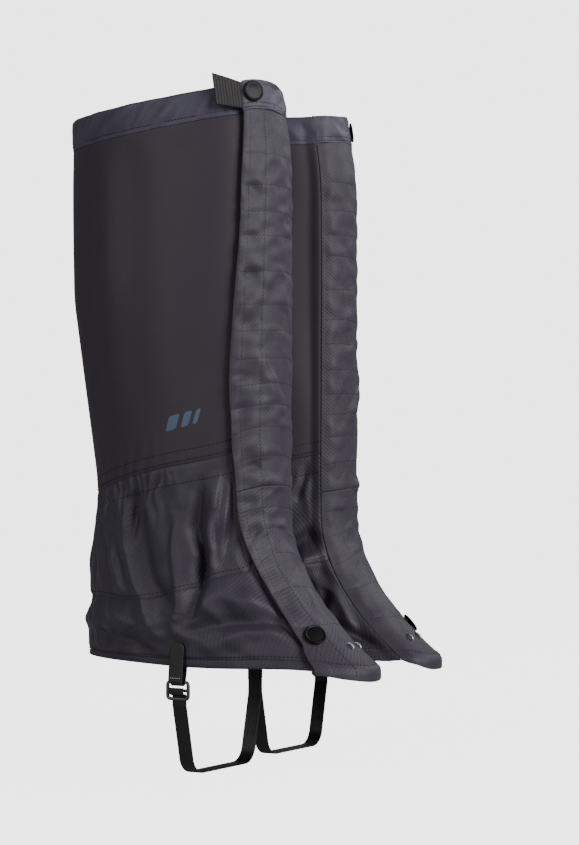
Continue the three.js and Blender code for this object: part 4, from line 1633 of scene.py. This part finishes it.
@dataclass
class PullTab:
    """Webbing tab at the flap's top corner, folded into a flat loop."""

    shop: Workshop
    length: float = 22.0
    height: float = 24.0
    thickness: float = 1.7
    above_rim: float = 6.0
    station: float = 11.1
    ribs: int = 10

    def build(self) -> None:
        """Makes the tab: its faces carry ribs across the webbing, cut by finer threads.

        Along the tab the rib height is |sin|^0.6 of the distance; up the tab a finer sine
        breaks the ribs into threads.
        """
        rise = FORM.cover_height + self.above_rim - self.height / 2
        origin, along, up, out = FORM.axes(self.station, rise)
        u = np.linspace(0.25, self.length, 105)
        v = np.concatenate([[0, 0.15, 0.5], np.linspace(1.1, self.height - 1.1, 43),
                            [self.height - 0.5, self.height - 0.15, self.height]]) - self.height / 2
        uu, vv = np.meshgrid(u, v, indexing="ij")
        ribs = np.abs(np.sin(np.pi * self.ribs * uu / self.length)) ** 0.6
        threads = 0.5 + 0.5 * np.sin(TAU * vv / 1.25 + np.pi * np.floor(self.ribs * uu / self.length))
        near = np.minimum(self.height / 2 - np.abs(vv), self.length - uu)
        inset = rounded_edge(np.clip(near, 0, 9), self.thickness, 1.0)
        bow = 0.5 * np.sin(np.pi * uu / self.length)
        middle = 4.3 - 0.8 + bow
        relief = 0.34 * ribs + 0.1 * threads * ribs
        outer = self._points((origin, along, up, out), uu, vv, middle + self.thickness / 2 + relief - inset)
        inner = self._points((origin, along, up, out), uu, vv, middle - self.thickness / 2 - relief + inset)
        draft = Draft()
        # Painted light on the ribs and painted shade in the grooves between them.
        draft.shell(outer, inner, np.stack([uu, vv], -1), 1.2 * ribs - 0.85)
        tab = self.shop.fixed("pull_tab", draft, "pull_tab_webbing", ["webbing"], "webbing", ("pull_tab",))
        LOG.info("%s rides the tab's own body", tab.name)

    @staticmethod
    def _points(axes: tuple, u: Array, v: Array, w: Array) -> Array:
        """Points at distances round, up and out; the tab hangs lower where it meets the flap.

        Args:
            axes: The tab's place and directions.
            u: Distances round the leg.
            v: Distances up.
            w: Distances out.

        Returns:
            The points.
        """
        origin, along, up, out = axes
        v = v - (5.6 + 0.16 * v) * (1 - u / 22)
        return origin + u[..., None] * along + v[..., None] * up + w[..., None] * out


@dataclass
class LaceHook:
    """Wire hook at the flap's tip: two staples through the cloth and a turned-back hook below."""

    shop: Workshop
    wire: float = 0.8
    half_width: float = 6.0
    staple_rise: float = 15.0
    staple_length: float = 7.0
    station: float = 5.04

    def build(self) -> None:
        """Makes the wire: straight runs joined by round corners, in the tip's own directions."""
        axes = FORM.axes(self.station, self.staple_rise)
        points = np.array([*self.half(-1), *self.half(1)[::-1]])
        path = resampled(self.softened(points, 2.0), 0.5)
        origin, along, up, out = axes
        line = origin + path[:, :1] * along + path[:, 1:2] * up + path[:, 2:] * out
        forward = unit(np.gradient(line, axis=0))
        across = self._carried(forward, along)
        angle = np.arange(14) / 14 * TAU
        profile = self.wire * np.stack([np.cos(angle), np.sin(angle)], -1)
        rings = swept(line, across, profile)
        draft = Draft()
        draft.tube(rings, ring_flat(rings))
        self.shop.fixed("flap_lower", draft, "lace_hook_wire", ["steel"], "steel", ("lace_hook",))

    def half(self, sign: int) -> list[tuple[float, float, float]]:
        """Corner points of one half of the wire, from its staple to the turned-back bar.

        Args:
            sign: Which half, -1 or 1.

        Returns:
            The points, as distances round, up and out.
        """
        above, below = 4.3 + 0.3 + self.wire - 0.7 + 1.1, 3.1 - 0.3 - self.wire - 0.7
        under, nose = below - 3.6 - 2 * self.wire, -self.staple_rise - 3.0
        x, front = sign * self.half_width, -self.staple_length / 2
        return [(x, -front, below), (x, -front - self.wire, above), (x, front + self.wire, above),
                (x, front, below), (x, nose + 2, below), (x, nose, (below + under) / 2),
                (x, nose + 2, under), (x, nose + 9, under), (x * 0.6, nose + 11, under)]

    @staticmethod
    def softened(points: Array, radius: float) -> Array:
        """Rounds the inner corners of a line: each becomes a parabola between its two sides.

        Args:
            points: Corners of the line.
            radius: Distance from a corner to where its curve starts.

        Returns:
            The rounded line.
        """
        made = [points[:1]]
        share = np.linspace(0, 1, 7)[:, None]
        for before, corner, after in zip(points[:-2], points[1:-1], points[2:]):
            reach = [min(radius, np.linalg.norm(p - corner) / 2.2) for p in (before, after)]
            start = corner + unit(before - corner) * min(reach)
            end = corner + unit(after - corner) * min(reach)
            made.append((1 - share) ** 2 * start + 2 * share * (1 - share) * corner + share**2 * end)
        return np.concatenate([*made, points[-1:]])

    @staticmethod
    def _carried(forward: Array, first: Array) -> Array:
        """Directions across a path, each turned as little as possible from the last one.

        Args:
            forward: Directions along the path.
            first: Direction across it at its start.

        Returns:
            The directions, one for each point.
        """
        across = np.zeros(forward.shape)
        current = first
        for i, ahead in enumerate(forward):
            current = current - ahead * (current @ ahead)
            if np.linalg.norm(current) < 1e-3:
                current = np.cross(ahead, [0.3, 0.8, 0.5])
            current = unit(current)
            across[i] = current
        return across


@dataclass
class FootStrap:
    """Strap under the arch with its buckle, tail and the webbing that anchors it."""

    shop: Workshop
    forward: float = 31.0
    width: float = 12.0
    thickness: float = 1.2
    inner_run: float = 51.7
    outer_run: float = 55.7
    buckle_centre: float = 61.0
    top_bar: float = 67.05
    bar_x: float = 53.7
    anchor_x: float = 49.6
    hem: float = 76.0

    def build(self) -> None:
        """Makes every piece of the strap."""
        self.strap()
        self.tail()
        self.anchors()
        self.buckle()

    def _path(self, points: Array) -> Array:
        """Puts pairs of X and Z in the strap's plane."""
        return np.stack([points[:, 0], np.full(len(points), -self.forward), points[:, 1]], -1)

    def ribbon(self, points: Array, width: float, thickness: float, step: float = 0.8,
               pits: tuple[float, float] | None = None, ribs: float = 0.0) -> Draft:
        """Flat strap along a path.

        Its outline is a rectangle with round edges carried along the path; diamond pits are
        pressed into its outer face where two slanting sines are both high, and ribs are
        sines along the path.

        Args:
            points: Pairs of X and Z along the strap's middle.
            width: Width of the strap.
            thickness: Thickness of the strap.
            step: Distance between its rings.
            pits: Heights between which the strap has diamond pits.
            ribs: Distance between ribs, or nothing for a plain strap.

        Returns:
            The draft.
        """
        line = self._path(resampled(points, step))
        profile = rounded_outline(width, thickness, thickness * 0.45, 3, 22)
        across = np.broadcast_to([0.0, 1.0, 0.0], line.shape)
        rings = swept(line, across, profile)
        face = np.sign(profile[:, 1]) * (np.abs(profile[:, 1]) > thickness * 0.49)
        lift = unit(np.cross(unit(np.gradient(line, axis=0)), across))
        depth = np.zeros(rings.shape[:2])
        along = walked(line)[:, None]
        if ribs:
            depth -= 0.12 * (1 - np.abs(np.sin(np.pi * along / ribs))) * np.abs(face)
        if pits:
            y, z = profile[None, :, 0], line[:, None, 2]
            zone = (z > pits[0]) & (z < pits[1]) & (np.abs(y) < width / 2 - 1.6)
            diamond = np.sin(np.pi * (along + y) / 2.6) * np.sin(np.pi * (along - y) / 2.6)
            depth -= 0.3 * smooth(np.abs(diamond), 0.45, 0.7) * zone
        rings = rings + (depth * face)[..., None] * lift[:, None]
        draft = Draft()
        # Painted shade in the diamond pits and in the grooves between the ribs.
        draft.tube(rings, ring_flat(rings), 2.2 * depth)
        return draft

    @staticmethod
    def arc(x: float, z: float, radius: float, start: float, end: float, steps: int = 14) -> Array:
        """Points of an arc, as pairs of X and Z, with its angles in degrees."""
        angle = np.radians(np.linspace(start, end, steps))
        return np.stack([x + radius * np.cos(angle), z + radius * np.sin(angle)], -1)

    def strap(self) -> None:
        """Strap from the buckle down the outer side, under the arch and up to the inner anchor."""
        floor, bend = self.thickness / 2, 14.0
        low = 43.0 - bend
        slot = self.buckle_centre - 2.92
        loop = np.array([(self.outer_run, self.buckle_centre + 2), (self.outer_run, slot + 0.9),
                         (self.outer_run - 0.9, slot), (self.inner_run + 0.9, slot - 0.1),
                         (self.inner_run, slot - 1.0), (self.inner_run, self.buckle_centre - 10.3)])
        rest = np.array([(-self.inner_run, self.buckle_centre - 10.3), (-self.inner_run, self.hem - 7)])
        path = np.concatenate([loop, self.arc(low, floor + bend, bend, -8, -90),
                               self.arc(-low, floor + bend, bend, 270, 188), rest])
        draft = self.ribbon(path, self.width, self.thickness, pits=(20.0, 36.0))
        self.shop.fixed("foot_strap", draft, "foot_strap_band", ["strap"], "strap", ("foot_strap",))

    def tail(self) -> None:
        """Free end above the buckle, with a round tip and a row of pale stitches at its foot."""
        x, top = 57.5, self.hem + 19.0
        path = resampled(np.array([(x, self.top_bar), (x - 2.6, top)]), 0.35)
        line = self._path(path)
        profile = rounded_outline(self.width, self.thickness, self.thickness * 0.45, 3, 10)
        across = np.broadcast_to([0.0, 1.0, 0.0], line.shape)
        rings = swept(line, across, profile)
        left = np.clip((top + 0.3 - line[:, 2]) / 4.5, 0.0, 1.0)
        narrow = 0.12 + 0.88 * np.sqrt(1 - (1 - left) ** 2)
        rings[..., 1] = -self.forward + (rings[..., 1] + self.forward) * narrow[:, None]
        draft = Draft()
        draft.tube(rings, ring_flat(rings))
        self.shop.fixed("strap_tail", draft, "strap_tail_band", ["strap"], "strap", ("strap_tail",))
        y = np.linspace(-self.forward - 4.6, -self.forward + 4.6, 40)
        row = np.stack([np.full(40, x + 0.55), y, np.full(40, self.top_bar + 3.0)], -1)
        out = np.broadcast_to([1.0, 0.0, 0.0], row.shape)
        self.shop.fixed("strap_tail", stitch_draft([(row, out)], 1.9, 1.1, 0.26), "tail_stitches",
                        ["pale_thread"], "strap")

    def anchors(self) -> None:
        """Ribbed webbing sewn inside the hem: a loop round the buckle's bar, and an inner end."""
        radius = 2.43
        loop = np.concatenate([
            [(self.anchor_x, self.hem + 12), (self.anchor_x, self.hem - 1)],
            self.arc(self.bar_x, self.top_bar, radius, 180, 395, 26)])
        outer = self.ribbon(loop, 10.0, 1.0, step=0.45, ribs=1.5)
        self.shop.fixed("foot_strap", outer, "strap_anchor_outer_webbing", ["webbing"], "webbing",
                        ("strap_anchor_outer",))
        run = np.array([(-self.anchor_x, self.hem + 12), (-self.anchor_x, self.hem - 15)])
        inner = self.ribbon(run, 10.0, 1.0, step=0.45, ribs=1.5)
        self.shop.fixed("foot_strap", inner, "strap_anchor_inner_webbing", ["webbing"], "webbing",
                        ("strap_anchor_inner",))

    def buckle(self) -> None:
        """Flat buckle: a rounded frame with a bevelled rim, and a ridged bar across its middle."""
        draft = Draft()
        outline = rounded_outline(17.6, 12.1, 2.4, 8)
        path = resampled(np.concatenate([outline, outline[:1]]), 0.5)[:-1]
        centre = np.stack([np.full(len(path), self.bar_x), path[:, 0] - self.forward,
                           path[:, 1] + self.buckle_centre], -1)
        forward = unit(np.roll(centre, -1, 0) - np.roll(centre, 1, 0))
        across = np.broadcast_to([1.0, 0.0, 0.0], centre.shape)
        lift = unit(np.cross(forward, across))
        profile = rounded_outline(2.2, 2.4, 0.7, 3)
        rings = (centre[:, None] + profile[None, :, :1] * across[:, None]
                 + profile[None, :, 1:] * lift[:, None])
        draft.tube(rings, ring_flat(np.concatenate([rings, rings[:1]])), closed=True)
        y = np.linspace(-7.9, 7.9, 120)
        ridges = 1.0 + 0.16 * np.abs(np.sin(np.pi * (y + 7.9) / 15.8 * 9))
        bar = np.stack([np.full(120, self.bar_x), y - self.forward, np.full(120, self.buckle_centre)], -1)
        angle = np.arange(16) / 16 * TAU
        circle = np.stack([np.cos(angle), np.sin(angle)], -1)
        steps = np.broadcast_to([1.0, 0.0, 0.0], bar.shape)
        rise = unit(np.cross(np.broadcast_to([0.0, 1.0, 0.0], bar.shape), steps))
        rods = (bar[:, None] + ridges[:, None, None] * (circle[None, :, :1] * steps[:, None]
                                                       + circle[None, :, 1:] * rise[:, None]))
        # Painted shade on the bar against the frame, a little lighter on its ridges.
        draft.tube(rods, ring_flat(rods), np.repeat(-0.9 + 1.5 * (ridges - 1), 16))
        self.shop.fixed("foot_strap", draft, "strap_buckle_frame", ["gunmetal"], "steel", ("strap_buckle",))


# ---- Stage ------------------------------------------------------------------------------


@dataclass
class Studio:
    """Pale floor, soft lights and the camera."""

    eye: tuple[float, float, float] = (-1.244, -0.788, 0.1835)
    heading: float = -59.53
    tilt: float = 2.93
    lens: float = 80.35

    def build(self) -> None:
        """Makes the stage."""
        self.floor()
        self.lights()
        self.camera()

    def floor(self) -> None:
        """Floor that curves up into a wall far behind, as a studio paper sweep."""
        reach, bend = 9.0, 3.0
        angle = np.linspace(0, math.pi / 2, 17)
        run = np.concatenate([[-reach, 0.0], 4.0 + bend * np.sin(angle), [4.0 + bend]])
        height = np.concatenate([[0.0, 0.0], bend * (1 - np.cos(angle)), [9.0]])
        heading = math.radians(self.heading)
        ahead = np.array([-math.sin(heading), math.cos(heading)])
        aside = np.array([ahead[1], -ahead[0]])
        widths = np.array([-9.0, 9.0])
        flat = run[:, None, None] * ahead + widths[None, :, None] * aside
        points = np.concatenate([flat, np.broadcast_to(height[:, None, None], (*flat.shape[:2], 1))], -1)
        index = np.arange(points.shape[0] * 2).reshape(-1, 2)
        faces = np.stack([index[:-1, 0], index[:-1, 1], index[1:, 1], index[1:, 0]], -1)
        mesh = bpy.data.meshes.new("paper_sweep")
        mesh.from_pydata(points.reshape(-1, 3).tolist(), [], faces.tolist())
        mesh.shade_smooth()
        material = bpy.data.materials.new("pale_paper")
        material.use_nodes = True
        shader = material.node_tree.nodes["Principled BSDF"]
        shader.inputs["Base Color"].default_value = (0.3, 0.3, 0.31, 1)
        shader.inputs["Roughness"].default_value = 0.9
        shader.inputs["Emission Color"].default_value = (1, 1, 1, 1)
        board = Board(material.node_tree)
        seen = board.node("ShaderNodeLightPath").outputs["Is Camera Ray"]
        glow = board.math("MULTIPLY_ADD", seen, 3.2, 0.1)
        material.node_tree.links.new(glow, shader.inputs["Emission Strength"])
        mesh.materials.append(material)
        sweep = bpy.data.objects.new("paper_sweep", mesh)
        bpy.context.scene.collection.objects.link(sweep)

    def lights(self) -> None:
        """Large soft boxes: a key above in front, a fill at the camera's side and one behind."""
        self.box("key_light", (-0.5, -2.7, 1.35), (0, 0, 0.3), 1.5, 84)
        self.box("fill_light", (-2.7, 0.7, 1.5), (0, 0, 0.35), 1.8, 34)
        self.box("rim_light", (2.0, -1.2, 1.8), (0, 0, 0.3), 1.2, 22)
        world = bpy.data.worlds.new("studio")
        world.use_nodes = True
        world.node_tree.nodes["Background"].inputs["Color"].default_value = (0.95, 0.96, 1.0, 1)
        world.node_tree.nodes["Background"].inputs["Strength"].default_value = 0.16
        bpy.context.scene.world = world

    @staticmethod
    def box(name: str, place: tuple, target: tuple, size: float, power: float) -> None:
        """Adds one square soft box that faces a target.

        Args:
            name: Name of the light.
            place: Where it stands, in metres.
            target: What it faces.
            size: Its side, in metres.
            power: Its power, in watts.
        """
        data = bpy.data.lights.new(name, "AREA")
        data.size, data.energy = size, power
        lamp = bpy.data.objects.new(name, data)
        lamp.location = place
        aim = Vector(target) - Vector(place)
        lamp.rotation_euler = aim.to_track_quat("-Z", "Y").to_euler()
        bpy.context.scene.collection.objects.link(lamp)

    def camera(self) -> None:
        """Camera at the height of the boots, a little to the outer side, tilted up slightly."""
        data = bpy.data.cameras.new("camera")
        data.lens, data.sensor_width = self.lens, 36.0
        data.clip_start, data.clip_end = 0.05, 60.0
        camera = bpy.data.objects.new("camera", data)
        heading, tilt = math.radians(self.heading), math.radians(self.tilt)
        aim = Vector((-math.sin(heading) * math.cos(tilt), math.cos(heading) * math.cos(tilt),
                      math.sin(tilt)))
        camera.location = self.eye
        camera.rotation_euler = aim.to_track_quat("-Z", "Y").to_euler()
        bpy.context.scene.collection.objects.link(camera)
        bpy.context.scene.camera = camera


def main() -> None:
    """Builds both gaiters and the stage."""
    logging.basicConfig(level=logging.INFO, format="%(name)s: %(message)s")
    groups = {group.name: group for group in (weave_group(), dye_and_shading_group())}
    materials = {finish.name: finish.make(groups) for finish in FINISHES}
    Studio().build()
    for side in Side:
        shop = Workshop(side, materials)
        for part in (Sleeve(shop), FrontFlap(shop), Snaps(shop), PullTab(shop), LaceHook(shop),
                     FootStrap(shop)):
            part.build()
            LOG.info("%s %s done", side.value, type(part).__name__)


if __name__ == "__main__":
    main()
